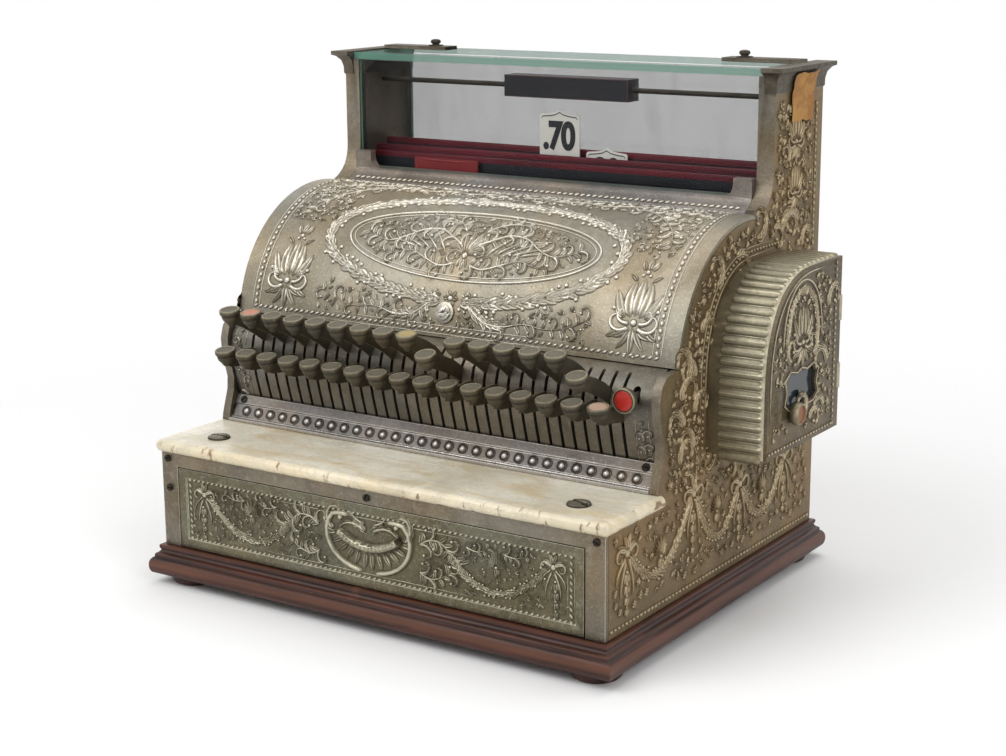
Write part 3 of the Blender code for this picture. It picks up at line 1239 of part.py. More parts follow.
def make_printer_cover():
    start, end = HALF_WIDTH + GAP, DOOR_INNER - GAP
    outer = printer_line(0) + [Vector((PRINTER_BACK, PRINTER_FLOOR))]
    inner = printer_line(PRINTER_WALL) + [Vector((PRINTER_BACK - PRINTER_WALL, PRINTER_FLOOR + PRINTER_WALL))]
    cover = slab("cover_shell", "X", start, end, outer, inner)
    join(cover, cover_ribs(start + PRINTER_BAND, end - RIB_WIDTH / 2))
    for knuckle in DOOR_KNUCKLES:
        leaf = box("door_leaf", (DOOR_INNER - PRINTER_WALL, DOOR_HINGE.y - DOOR_THICKNESS / 4, knuckle[2]),
                   (DOOR_HINGE.x, DOOR_HINGE.y + DOOR_THICKNESS / 2, knuckle[2] + DOOR_HINGE_LENGTH))
        join(cover, leaf, *knuckle_with_pin("door_knuckle", (0, 0, 1), knuckle, DOOR_HINGE_LENGTH, DOOR_BARREL))
    finish(cover, "printer_cover", "olive_nickel")


def make_printer_door():
    outline = printer_line(0)[:-1] + [Vector((DOOR_HINGE.y, PRINTER_TOP)), Vector((DOOR_HINGE.y, PRINTER_FLOOR))]
    door = slab("door_plate", "X", DOOR_INNER, PRINTER_SIDE, outline)
    bead = rod("door_bead", (0, 0, 1), (*DOOR_HINGE, PRINTER_FLOOR), PRINTER_HEIGHT, DOOR_THICKNESS / 2,
               SHAFT_SIDES)
    oval = rod("door_oval", (1, 0, 0), (0, 0, 0), OVAL_PROUD + OVERLAP, OVAL_WIDTH / 2, SHAFT_SIDES)
    oval.data.transform(Matrix.Diagonal((1, 1, OVAL_LENGTH / OVAL_WIDTH, 1)))
    oval.location = (PRINTER_SIDE - OVERLAP, PRINTER_FRONT + OVAL_INSET, PRINTER_FLOOR + OVAL_LIFT)
    foot = PRINTER_FLOOR + WINDOW_LIFT
    front = PRINTER_FRONT + WINDOW_INSET
    window = slab("door_window", "X", DOOR_INNER - OVERRUN, PRINTER_SIDE + OVERRUN,
                  [(front + WINDOW_LENGTH * along, foot + WINDOW_HEIGHT * up) for along, up in WINDOW_SHARES])
    lock_hole = rod("door_lock_hole", (1, 0, 0), (DOOR_INNER - OVERRUN, KNOB.y, KNOB.z),
                    DOOR_THICKNESS + 2 * OVERRUN, KNOB_SHAFT + SLIDE_GAP, SHAFT_SIDES)
    cut(join(door, bead, oval), window, lock_hole)
    for start in DOOR_KNUCKLES:
        cut(door, *hinge_cutters("door_hinge", (0, 0, 1), start, DOOR_HINGE_LENGTH, DOOR_BARREL))
    finish(door, "printer_door", "olive_nickel", (*DOOR_HINGE, PRINTER_FLOOR))


def make_printer_lock():
    proud = KNOB_PROUD - GAP
    profile = [(KNOB_RADIUS * out, proud * up) for out, up in KNOB_SHARES]
    profile += [(KNOB_SHAFT, 0), (KNOB_SHAFT, -KNOB_SHAFT_LENGTH)]
    knob = turned("knob", profile, BUTTON_SIDES, (1, 0, 0), KNOB)
    end = KNOB.x - KNOB_SHAFT_LENGTH
    cam = box("knob_cam", (end - OVERLAP, KNOB.y - KNOB_SHAFT, KNOB.z),
              (end + OVERLAP, KNOB.y + KNOB_SHAFT, KNOB.z + KNOB_CAM))
    finish(join(knob, cam), "printer_lock", "bright_nickel")


def make_ticket_roll():
    start = HALF_WIDTH + SPINDLE_LENGTH - ROLL_WIDTH
    place = (SPINDLE.y, SPINDLE.z)
    rim = arc(place, ROLL_RADIUS, 0, 2 * math.pi, ROLL_SIDES)[:-1]
    core = arc(place, bore_radius(SPINDLE_RADIUS, SHAFT_SIDES), 0, 2 * math.pi, SHAFT_SIDES)[:-1]
    roll = slab("roll", "X", start, start + ROLL_WIDTH, rim, core)
    finish(roll, "ticket_roll", "paper", (start, *place))


make_plinth()
make_front_frame()
make_side("left_side", -1)
make_side("right_side", 1)
make_back_cover()
make_marble()
make_stud_rail()
make_comb()
make_shaft()
make_keys()
make_button()
make_lid()
make_lid_lock()
make_window_frame()
make_glass()
make_indicator_rail()
make_number_flag("flag_amount", AMOUNT_PLACE, FLAG_TOP)
make_number_flag("flag_second", SECOND_PLACE, FLAG_TOP - FLAG_TRAVEL)
make_credit_flag()
make_sign()
make_drawer()
make_tray()
make_printer_cover()
make_printer_door()
make_printer_lock()
make_ticket_roll()
print(f"ticket register: {len(nodes)} parts")
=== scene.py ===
import json
import math
import random
import bpy
import bmesh
from mathutils import Matrix, Vector, kdtree, noise
from mathutils.bvhtree import BVHTree


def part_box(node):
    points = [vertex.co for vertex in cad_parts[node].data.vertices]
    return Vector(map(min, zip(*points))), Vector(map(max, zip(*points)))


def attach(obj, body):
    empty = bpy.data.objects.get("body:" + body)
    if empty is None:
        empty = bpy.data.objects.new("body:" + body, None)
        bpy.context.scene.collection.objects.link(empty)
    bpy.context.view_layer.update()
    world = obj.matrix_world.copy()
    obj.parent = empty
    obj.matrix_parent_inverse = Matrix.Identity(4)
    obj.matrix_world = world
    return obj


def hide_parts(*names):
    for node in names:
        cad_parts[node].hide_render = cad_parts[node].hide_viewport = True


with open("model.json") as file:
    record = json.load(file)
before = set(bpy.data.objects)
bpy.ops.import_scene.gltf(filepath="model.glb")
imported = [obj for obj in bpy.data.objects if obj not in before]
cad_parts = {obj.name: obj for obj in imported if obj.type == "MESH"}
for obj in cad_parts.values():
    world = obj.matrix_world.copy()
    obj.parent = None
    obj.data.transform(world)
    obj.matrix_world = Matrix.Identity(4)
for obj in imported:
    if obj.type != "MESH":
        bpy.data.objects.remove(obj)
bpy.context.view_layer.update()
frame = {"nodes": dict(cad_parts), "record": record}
nodes = frame["nodes"]
slotOf = {s["node"]: s["material_slot"] for s in frame["record"]["subparts"]}
bodyOf = {n: b for b, members in frame["record"]["behaviour"]["bodies"].items() for n in members}

# places are written in the cabinet's own frame: its middle, its front plate and the counter
home = Vector(((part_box("lid")[0].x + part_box("lid")[1].x) / 2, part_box("front_frame")[0].y, 0))

cabinet = {"halfWidth": 0.23, "depth": 0.3764}
lidForm = {"radius": 0.1245, "centre": (0.235, 0.215),  # the centre's depth and height
           "frontAngle": math.radians(172), "arc": 0.1977}
print("frame loaded:", len(nodes), "nodes")


def at(x, y, z):
    return home + Vector((x, y, z))


# node helpers

def feed(tree, node, values):
    # each input gets a number, a colour or another node's output
    for key, value in values.items():
        socket = node.inputs[key]
        if isinstance(value, bpy.types.NodeSocket):
            tree.links.new(value, socket)
        elif socket.type == "RGBA":
            socket.default_value = (*value, 1)
        else:
            socket.default_value = value


def addNode(tree, kind, values=None, **settings):
    node = tree.nodes.new(kind)
    for name, value in settings.items():
        setattr(node, name, value)
    feed(tree, node, values or {})
    return node


def startMaterial(name):
    material = bpy.data.materials.new(name)
    material.use_nodes = True
    tree = material.node_tree
    tree.nodes.clear()
    shader = addNode(tree, "ShaderNodeBsdfPrincipled")
    addNode(tree, "ShaderNodeOutputMaterial", {"Surface": shader.outputs["BSDF"]})
    return material, tree, shader


def objectPlace(tree, stretch=(1, 1, 1), turn=(0, 0, 0)):
    place = addNode(tree, "ShaderNodeTexCoord").outputs["Object"]
    return addNode(tree, "ShaderNodeMapping", {"Vector": place, "Scale": stretch,
                                               "Rotation": turn}).outputs["Vector"]


def readAttribute(tree, name, output="Fac"):
    return addNode(tree, "ShaderNodeAttribute", attribute_name=name).outputs[output]


def grainPlace(tree, stretch):
    # along the wood's fibres, which the mesh carries as an attribute
    place = readAttribute(tree, "grain", "Vector")
    return addNode(tree, "ShaderNodeMapping", {"Vector": place, "Scale": stretch}).outputs["Vector"]


def grain(tree, place, scale, detail=4.0, rough=0.55, warp=0.0):
    return addNode(tree, "ShaderNodeTexNoise", {"Vector": place, "Scale": scale, "Detail": detail,
                                                "Roughness": rough, "Distortion": warp}).outputs["Fac"]


def spread(tree, value, low, high, toLow=0.0, toHigh=1.0):
    return addNode(tree, "ShaderNodeMapRange", {"Value": value, "From Min": low, "From Max": high,
                                                "To Min": toLow, "To Max": toHigh}).outputs["Result"]


def reckon(tree, kind, first, second):
    return addNode(tree, "ShaderNodeMath", {0: first, 1: second}, operation=kind).outputs[0]


def blendColour(tree, share, first, second, kind="MIX"):
    return addNode(tree, "ShaderNodeMix", {0: share, 6: first, 7: second}, data_type="RGBA", blend_type=kind,
                   clamp_factor=True).outputs[2]


def bump(tree, height, distance, strength=1.0):
    return addNode(tree, "ShaderNodeBump", {"Strength": strength, "Distance": distance,
                                            "Height": height}).outputs["Normal"]


# the register's finishes

metalLooks = {  # plain, stained, grime-and-painted-shade and rubbed-and-painted-highlight colour, metal, roughness, scale of the patches
    "nickel": ((0.345, 0.31, 0.245), (0.2, 0.172, 0.12), (0.045, 0.035, 0.02), (0.66, 0.62, 0.54),
               0.75, 0.34, 9.0),
    "frame": ((0.235, 0.2, 0.15), (0.13, 0.105, 0.07), (0.035, 0.028, 0.018), (0.46, 0.42, 0.34),
              0.72, 0.36, 16.0),
    "silver": ((0.205, 0.18, 0.16), (0.115, 0.1, 0.085), (0.035, 0.03, 0.025), (0.5, 0.47, 0.43),
               0.72, 0.34, 14.0),
    "comb": ((0.19, 0.168, 0.135), (0.11, 0.095, 0.07), (0.035, 0.03, 0.02), (0.42, 0.39, 0.33),
             0.75, 0.34, 18.0),
    "olive": ((0.255, 0.178, 0.086), (0.135, 0.09, 0.04), (0.03, 0.021, 0.01), (0.47, 0.385, 0.25),
              0.62, 0.4, 9.0),
    "door": ((0.175, 0.132, 0.078), (0.1, 0.074, 0.042), (0.028, 0.02, 0.011), (0.58, 0.5, 0.35),
             0.62, 0.4, 14.0),
    "greenish": ((0.165, 0.15, 0.098), (0.085, 0.075, 0.043), (0.026, 0.022, 0.012), (0.5, 0.47, 0.36),
                 0.62, 0.38, 12.0),
    "ribbed": ((0.25, 0.212, 0.135), (0.135, 0.122, 0.072), (0.04, 0.034, 0.02), (0.48, 0.43, 0.31),
               0.62, 0.38, 12.0),
    "keyBronze": ((0.092, 0.076, 0.045), (0.05, 0.04, 0.023), (0.018, 0.014, 0.009), (0.26, 0.225, 0.15),
                  0.5, 0.44, 30.0),
    "steel": ((0.2, 0.19, 0.17), (0.1, 0.09, 0.075), (0.03, 0.026, 0.02), (0.5, 0.48, 0.44), 0.85, 0.34, 25.0),
    "darkIron": ((0.06, 0.05, 0.034), (0.032, 0.026, 0.018), (0.012, 0.009, 0.006), (0.24, 0.21, 0.15),
                 0.6, 0.48, 60.0),
}
woods = {  # dark, middle and worn colour, roughness and polish
    "polishedMahogany": ((0.014, 0.005, 0.003), (0.088, 0.024, 0.013), (0.175, 0.068, 0.036), 0.42, 0.1),
    "bareTrayWood": ((0.12, 0.06, 0.025), (0.26, 0.15, 0.07), (0.38, 0.24, 0.12), 0.6, 0.0),
}
marbleTints = {"pale": (0.93, 0.88, 0.74), "cloud": (0.72, 0.66, 0.52), "honey": (0.64, 0.5, 0.28),
               "nosing": (0.78, 0.66, 0.42), "smudge": (0.46, 0.42, 0.31), "vein": (0.42, 0.38, 0.33),
               "chip": (0.24, 0.14, 0.06)}
glasses = {  # tint, cover face on and at a glancing angle, roughness
    "paneGlass": ((0.02, 0.024, 0.024), 0.045, 0.16, 0.03),
    "rearGlass": ((0.08, 0.086, 0.082), 0.36, 0.46, 0.05),
    "edgeGlass": ((0.1, 0.26, 0.19), 0.72, 0.9, 0.12),
    "darkGlass": ((0.03, 0.04, 0.045), 0.93, 0.97, 0.08),
}
paints = {  # colour, worn colour, roughness, how far wear is held back, metal
    "whiteEnamel": ((0.84, 0.83, 0.76), (0.52, 0.47, 0.38), 0.34, 0.66),
    "numeralInk": ((0.02, 0.022, 0.026), (0.1, 0.1, 0.1), 0.42, 0.68),
    "redEnamel": ((0.27, 0.026, 0.03), (0.13, 0.035, 0.03), 0.42, 0.58),
    "buttonRed": ((0.5, 0.032, 0.022), (0.2, 0.015, 0.012), 0.3, 0.56),
    "blackJapan": ((0.012, 0.012, 0.017), (0.11, 0.048, 0.036), 0.34, 0.68, 0, True),
    "salmonDisc": ((0.5, 0.23, 0.15), (0.26, 0.15, 0.1), 0.45),
    "ochreDisc": ((0.36, 0.28, 0.12), (0.2, 0.16, 0.08), 0.45),
    "pinkDisc": ((0.52, 0.34, 0.25), (0.28, 0.19, 0.12), 0.45),
    "plainDisc": ((0.125, 0.112, 0.078), (0.07, 0.06, 0.042), 0.5),
    "copperFace": ((0.33, 0.16, 0.09), (0.12, 0.07, 0.05), 0.38, 0.58, 0.6),
    "rollPaper": ((0.8, 0.76, 0.66), (0.6, 0.53, 0.42), 0.85),
    "agedTag": ((0.5, 0.255, 0.065), (0.3, 0.135, 0.035), 0.6, 0.46),
}
railPaint = {"redFrom": 0.3564, "step": 0.005, "second": 0.3137, "third": 0.328}


def wornMetal(name, base, stain, grimeAndShade, rubAndHighlight, metal, rough, patch):
    # the pieces carry a crest attribute: 0 in the hollows, which get grime and painted shade, a half on plain
    # faces, 1 where hands rub, which get rubbed metal and a painted highlight
    material, tree, shader = startMaterial(name)
    place = objectPlace(tree)
    patches = grain(tree, place, patch, 5, 0.6, 0.6)
    mottle = grain(tree, place, 150, 8, 0.72)
    fine = grain(tree, place, 620, 4, 0.6)
    colour = blendColour(tree, spread(tree, patches, 0.38, 0.64), base, stain)
    colour = blendColour(tree, spread(tree, mottle, 0.42, 0.68, 0, 0.75), colour, stain)
    tinge = spread(tree, grain(tree, place, 5.5, 3, 0.5, 1.5), 0.4, 0.62)
    tinted = blendColour(tree, tinge, (0.93, 0.98, 1.05), (1.08, 1.0, 0.88))
    colour = blendColour(tree, 1.0, colour, tinted, "MULTIPLY")
    # painted glints: fine specks of the rubbed colour scattered over the metal
    colour = blendColour(tree, spread(tree, fine, 0.55, 0.72, 0, 0.35), colour, rubAndHighlight)
    pits = addNode(tree, "ShaderNodeTexVoronoi", {"Vector": place, "Scale": 520}, feature="F1").outputs["Distance"]
    specks = reckon(tree, "MULTIPLY", spread(tree, pits, 0.05, 0.24, 1, 0),
                    spread(tree, grain(tree, place, 60, 3), 0.46, 0.6))
    colour = blendColour(tree, reckon(tree, "MULTIPLY", specks, 0.6), colour, grimeAndShade)
    uneven = reckon(tree, "ADD", readAttribute(tree, "crest"), spread(tree, mottle, 0.3, 0.7, -0.13, 0.13))
    # low crests: grime and painted shade in the hollows
    colour = blendColour(tree, spread(tree, uneven, 0.04, 0.4, 0.95, 0), colour, grimeAndShade)
    # high crests: rubbed metal and a painted highlight
    colour = blendColour(tree, spread(tree, uneven, 0.6, 0.98, 0, 0.95), colour, rubAndHighlight)
    height = reckon(tree, "ADD", reckon(tree, "ADD", mottle, reckon(tree, "MULTIPLY", fine, 0.35)),
                    reckon(tree, "MULTIPLY", specks, -0.6))
    feed(tree, shader, {
        "Base Color": colour, "Metallic": metal, "Normal": bump(tree, height, 0.00045, 0.9),
        "Roughness": spread(tree, uneven, 0.1, 1.0, rough + 0.22, rough - 0.1)})
    return material


def makeWood(name, dark, middle, worn, rough, coat):
    material, tree, shader = startMaterial(name)
    # the moulding's fibres turn its corners with it, the tray's run straight
    turned = name == "polishedMahogany"
    along = grainPlace(tree, (5, 60, 60)) if turned else objectPlace(tree, (60, 5, 60))
    bands = grain(tree, along, 1.6, 6, 0.6, 1.2)
    fine = grainPlace(tree, (30, 900, 900)) if turned else objectPlace(tree, (900, 30, 900))
    pores = grain(tree, fine, 1.0, 3, 0.6)
    colour = blendColour(tree, spread(tree, bands, 0.34, 0.68), dark, middle)
    colour = blendColour(tree, spread(tree, pores, 0.5, 0.72, 0, 0.6), colour, dark)
    wear = spread(tree, grain(tree, objectPlace(tree), 22, 6, 0.7), 0.6, 0.74, 0, 0.55)
    if turned:
        edge = readAttribute(tree, "crest")
        # lighter edges where the crest is high: worn wood and a painted highlight
        wear = reckon(tree, "ADD", wear, spread(tree, edge, 0.72, 1.0, 0, 0.42))
        # painted shade in the moulding's hollows, where the crest is low
        colour = blendColour(tree, spread(tree, edge, 0.0, 0.45, 0.8, 0), colour, (0.022, 0.01, 0.007))
    feed(tree, shader, {
        "Base Color": blendColour(tree, wear, colour, worn), "Coat Weight": coat, "Coat Roughness": 0.3,
        "Specular IOR Level": 0.3, "Roughness": spread(tree, bands, 0.3, 0.7, rough + 0.1, rough - 0.06),
        "Normal": bump(tree, reckon(tree, "ADD", bands, reckon(tree, "MULTIPLY", pores, -0.7)), 0.0003, 0.6)})
    return material


def makeMarble():
    material, tree, shader = startMaterial("creamMarble")
    place, edge, tints = objectPlace(tree), readAttribute(tree, "crest"), marbleTints
    cloud = grain(tree, place, 9, 6, 0.6, 0.9)
    honey = grain(tree, objectPlace(tree, (6, 20, 20)), 1.3, 5, 0.65, 1.5)
    smudge = grain(tree, place, 7, 6, 0.7, 1.4)
    veins = spread(tree, grain(tree, objectPlace(tree, (14, 22, 22), (0, 0, 0.5)), 1.0, 8, 0.7, 2.4),
                   0.485, 0.515, 0, 1)
    thin = reckon(tree, "MULTIPLY", veins, reckon(tree, "SUBTRACT", 1.0, veins))
    chip = spread(tree, grain(tree, objectPlace(tree, (150, 40, 60)), 1.0, 4, 0.6), 0.6, 0.66, 0, 1)
    chips = reckon(tree, "MULTIPLY", chip, edge)
    colour = blendColour(tree, spread(tree, cloud, 0.36, 0.66), tints["pale"], tints["cloud"])
    for share, tint in ((spread(tree, honey, 0.47, 0.66, 0, 0.8), "honey"),
                        (spread(tree, edge, 0.0, 1.0, 0, 0.55), "nosing"),
                        (spread(tree, smudge, 0.5, 0.66, 0, 0.5), "smudge"),
                        (reckon(tree, "MULTIPLY", thin, 1.6), "vein"), (chips, "chip")):
        colour = blendColour(tree, share, colour, tints[tint])
    feed(tree, shader, {
        "Base Color": colour, "Roughness": spread(tree, cloud, 0.3, 0.7, 0.2, 0.34), "Subsurface Weight": 0.06,
        "Subsurface Scale": 0.004,
        "Normal": bump(tree, reckon(tree, "SUBTRACT", grain(tree, place, 120, 5), chips), 0.0003, 0.5)})
    return material


def makeGlass(name, tint, clear, edge, rough):
    # mostly open, and fuller where it is seen at a glancing angle
    material, tree, shader = startMaterial(name)
    facing = addNode(tree, "ShaderNodeLayerWeight", {"Blend": 0.35}).outputs["Facing"]
    smear = grain(tree, objectPlace(tree, (30, 30, 9)), 1.0, 5, 0.6, 1.2)
    milky = tuple(c * 0.7 + 0.06 for c in tint)
    feed(tree, shader, {
        "Alpha": reckon(tree, "ADD", spread(tree, facing, 0.1, 0.95, clear, edge),
                        spread(tree, smear, 0.5, 0.8, 0, 0.05)),
        "Base Color": blendColour(tree, spread(tree, smear, 0.45, 0.8, 0, 0.5), tint, milky),
        "Roughness": spread(tree, smear, 0.3, 0.8, rough, rough + 0.1)})
    return material


def makePaint(name, colour, worn, rough, wear=0.62, metal=0.0, crested=False):
    material, tree, shader = startMaterial(name)
    place = objectPlace(tree)
    rubs = spread(tree, grain(tree, place, 45, 6, 0.7), wear, wear + 0.1, 0, 0.8)
    soft = blendColour(tree, spread(tree, grain(tree, place, 14, 4), 0.35, 0.7, 0, 0.45), colour,
                       tuple(c * 0.62 for c in colour))
    if crested:
        edge = spread(tree, readAttribute(tree, "crest"), 0.45, 0.92, 0.0, 1.1)
        ragged = reckon(tree, "ADD", edge, spread(tree, grain(tree, place, 160, 5), 0.35, 0.65, -0.45, 0.25))
        rubs = reckon(tree, "MAXIMUM", rubs, spread(tree, ragged, 0.45, 0.8))
    feed(tree, shader, {
        "Base Color": blendColour(tree, rubs, soft, worn), "Metallic": metal, "Specular IOR Level": 0.3,
        "Roughness": spread(tree, grain(tree, place, 80, 4), 0.3, 0.7, rough - 0.06, rough + 0.12),
        "Normal": bump(tree, grain(tree, place, 260, 5), 0.00012, 0.5)})
    return material


def makeRailPaint():
    # three crimson bars, each painted only along its top, over a black board
    material, tree, shader = startMaterial("railPaint")
    parts = addNode(tree, "ShaderNodeSeparateXYZ", {0: objectPlace(tree)}).outputs
    lifts = [reckon(tree, "MULTIPLY", reckon(tree, "GREATER_THAN", parts["Y"], railPaint[bar] + home.y),
                    railPaint["step"]) for bar in ("second", "third")]
    top = reckon(tree, "ADD", reckon(tree, "ADD", *lifts), railPaint["redFrom"])
    painted = spread(tree, reckon(tree, "SUBTRACT", parts["Z"], top), 0.0, 0.0003)
    mottle = grain(tree, objectPlace(tree, (6, 60, 60)), 1.0, 5, 0.6)
    red = blendColour(tree, spread(tree, mottle, 0.35, 0.7), (0.13, 0.006, 0.014), (0.05, 0.003, 0.008))
    black = blendColour(tree, spread(tree, mottle, 0.4, 0.7), (0.006, 0.007, 0.01), (0.014, 0.015, 0.02))
    feed(tree, shader, {
        "Base Color": blendColour(tree, painted, black, red), "Specular IOR Level": 0.14,
        "Roughness": spread(tree, mottle, 0.3, 0.7, 0.3, 0.46),
        "Normal": bump(tree, grain(tree, objectPlace(tree), 240, 4), 0.00012, 0.4)})
    return material


finishes = {"marble": makeMarble(), "railPaint": makeRailPaint()}
finishes.update({name: wornMetal(name + "Plate", *values) for name, values in metalLooks.items()})
for maker, rows in ((makeWood, woods), (makeGlass, glasses), (makePaint, paints)):
    finishes.update({name: maker(name, *values) for name, values in rows.items()})
print("finishes:", len(finishes))


# making pieces

def newObject(name, data):
    made = bpy.data.objects.new(name, data)
    bpy.context.scene.collection.objects.link(made)
    return made


def plainMesh(holder, name):
    # what an object's modifiers or curve come to, as a mesh of its own
    bpy.context.view_layer.update()
    mesh = bpy.data.meshes.new_from_object(holder.evaluated_get(bpy.context.evaluated_depsgraph_get()))
    mesh.name = name
    holder.modifiers.clear()
    bpy.data.objects.remove(holder)
    return mesh


def ownPiece(name, mesh, body, slot, *replaced):
    piece = newObject(name, mesh)
    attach(piece, body)
    if replaced:
        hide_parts(*replaced)


def pieceFor(nodeName, name, mesh, replacing=False):
    # a piece that goes with a CAD solid, or in its place
    ownPiece(name, mesh, bodyOf[nodeName], slotOf[nodeName], *([nodeName] if replacing else []))


def newShape():
    bm = bmesh.new()
    bm.verts.layers.float.new("crest")
    return bm


def meshOf(name, bm, finishNames, smooth=40.0, recalculate=True):
    if recalculate:
        bmesh.ops.recalc_face_normals(bm, faces=bm.faces)
    mesh = bpy.data.meshes.new(name)
    bm.to_mesh(mesh)
    bm.free()
    for finishName in finishNames:
        mesh.materials.append(finishes[finishName])
    mesh.shade_smooth()
    mesh.set_sharp_from_angle(angle=math.radians(smooth))
    return mesh


def joinMeshes(name, meshes):
    bm = newShape()
    materials = []
    for mesh in meshes:
        start = len(bm.faces)
        bm.from_mesh(mesh)
        bm.faces.ensure_lookup_table()
        for face in bm.faces[start:]:
            material = mesh.materials[face.material_index]
            if material not in materials:
                materials.append(material)
            face.material_index = materials.index(material)
    joined = bpy.data.meshes.new(name)
    bm.to_mesh(joined)
    bm.free()
    for material in materials:
        joined.materials.append(material)
    return joined


dressing = {"merge": 0.00001, "mergeFlat": 0.00003, "flatAngle": math.radians(0.4),
            "sharpAngle": math.radians(30),
            "edgeCrest": 0.92, "leastWidth": 0.0015, "leastArea": 0.0001, "inset": 0.0009, "oddCrest": 0.1}


def dressNode(nodeName, bevel=0.0, flatten=None, plain=0.5):
    # a polished copy of a CAD solid: merged, its flats made whole, its edges eased and rubbed bright with a
    # painted highlight
    bm = bmesh.new()
    bm.from_mesh(nodes[nodeName].data)
    bmesh.ops.remove_doubles(bm, verts=bm.verts, dist=dressing["merge"])
    if flatten:
        flatten(bm)
        bmesh.ops.remove_doubles(bm, verts=bm.verts, dist=dressing["mergeFlat"])
    bmesh.ops.dissolve_limit(bm, angle_limit=dressing["flatAngle"], verts=bm.verts, edges=bm.edges)
    layer = bm.verts.layers.float.new("crest")

    def shine(verts, value):
        for vert in verts:
            vert[layer] = value

    shine(bm.verts, plain)
    if bevel:
        sharp = [e for e in bm.edges if len(e.link_faces) == 2 and e.calc_face_angle(0) > dressing["sharpAngle"]]
        eased = bmesh.ops.bevel(bm, geom=sharp, offset=bevel, offset_type="OFFSET", segments=2, profile=0.5,
                                affect="EDGES", clamp_overlap=True)
        shine(eased["verts"], dressing["edgeCrest"])
        wide = [f for f in bm.faces if f.calc_area() > dressing["leastWidth"] * f.calc_perimeter()
                and f.calc_area() > dressing["leastArea"]]
        whole = [f for f in wide if all(loop.is_convex for loop in f.loops)]
        shine({v for f in wide if f not in whole for v in f.verts}, plain + dressing["oddCrest"])
        bmesh.ops.inset_individual(bm, faces=whole, thickness=dressing["inset"], use_even_offset=False)
        shine({v for f in whole for v in f.verts}, plain)
    return bm


def finishNode(bm, nodeName, pieceName, finishNames, smooth=36.0):
    bmesh.ops.triangulate(bm, faces=[f for f in bm.faces if len(f.verts) > 4])
    pieceFor(nodeName, pieceName, meshOf(pieceName, bm, finishNames, smooth, False), True)


def sortFaces(bm, indexOf):
    # gives each face its finish by its middle and its direction
    for face in bm.faces:
        face.normal_update()
        face.material_index = indexOf(face.calc_center_median(), face.normal)


def gridFaces(bm, faces, axisSteps):
    # cuts flat faces into a grid, so that they can carry grime and painted shade
    for axis, step in axisSteps:
        values = [v.co[axis] for f in faces for v in f.verts]
        low, high = min(values), max(values)
        direction = Vector([1.0 if k == axis else 0.0 for k in range(3)])
        count = int((high - low) / step)
        for i in range(1, count):
            place = direction * (low + (high - low) * i / count)
            geometry = set(faces)
            for face in faces:
                geometry.update(face.edges, face.verts)
            cutUp = bmesh.ops.bisect_plane(bm, geom=list(geometry), plane_co=place, plane_no=direction,
                                           dist=0.000005)
            faces = [g for g in cutUp["geom"] if isinstance(g, bmesh.types.BMFace)]
    return faces


groundLook = {"awayFromOrnament": 0.52, "gather": 0.35}


def grimeAndShadeNearOrnament(bm, spots, work, reach, depth):
    # darkens plain ground near the ornament with grime and painted shade, more where more ornament stands close;
    # spots are vertices with their flat places
    tree = kdtree.KDTree(len(work["taken"]))
    for i, (u, v, w) in enumerate(work["taken"]):
        tree.insert((u, v, 0), i)
    tree.balance()
    layer = bm.verts.layers.float["crest"]
    for vert, (u, v) in spots:
        near = 0.0
        for _, index, distance in tree.find_range((u, v, 0), reach):
            near += 1 - distance / reach
        vert[layer] = groundLook["awayFromOrnament"] - depth * min(1.0, near * groundLook["gather"])


# turned shapes and rows

def bridge(bm, low, high):
    # closes the skin between two rings, or between a ring and a point
    count = max(len(low), len(high))
    if count == 1:
        return
    for k in range(count):
        n = (k + 1) % count
        if len(low) == 1:
            bm.faces.new((low[0], high[n], high[k]))
        elif len(high) == 1:
            bm.faces.new((low[k], low[n], high[0]))
        else:
            bm.faces.new((low[k], low[n], high[n], high[k]))


def skinRings(bm, rings):
    for low, high in zip(rings, rings[1:]):
        bridge(bm, low, high)


def addRing(bm, spots, crests):
    # a ring of vertices, each with its own crest or all with one
    layer = bm.verts.layers.float["crest"]
    ring = [bm.verts.new(spot) for spot in spots]
    for k, vert in enumerate(ring):
        vert[layer] = crests if isinstance(crests, (int, float)) else crests[k]
    return ring


def circle(radius, sides):
    return [(radius * math.cos(2 * math.pi * k / sides), radius * math.sin(2 * math.pi * k / sides))
            for k in range(sides)]


def standOn(bm, spot, outward):
    # moves a shape made on z = 0 to its place, its top turned outward
    turn = Vector(outward).normalized().to_track_quat("Z", "Y").to_matrix().to_4x4()
    bm.transform(Matrix.Translation(Vector(spot)) @ turn)


def turnedShape(profile, sides, axis=(0, 0, 1), place=(0, 0, 0), crests=None):
    # profile: (radius, height) pairs from one end of the axis to the other
    bm = newShape()
    rings = []
    for (radius, height), crest in zip(profile, crests or [0.5] * len(profile)):
        spots = [(0, 0)] if radius < 1e-7 else circle(radius, sides)
        rings.append(addRing(bm, [(x, y, height) for x, y in spots], crest))
    skinRings(bm, rings)
    for ring in (rings[0][::-1], rings[-1]):
        if len(ring) > 1:
            bm.faces.new(ring)
    standOn(bm, place, axis)
    return bm


def template(name, bm, finishName, smooth=50.0):
    return newObject(name, meshOf(name, bm, [finishName], smooth))


rowInputs = {"Line": ("Geometry", None), "Shape": ("Object", None), "Spacing": ("Float", 0.006),
             "Size": ("Vector", (1, 1, 1)), "Slant": ("Float", 0.0), "Unevenness": ("Float", 0.0),
             "Seed": ("Int", 1), "Finish": ("Material", None)}


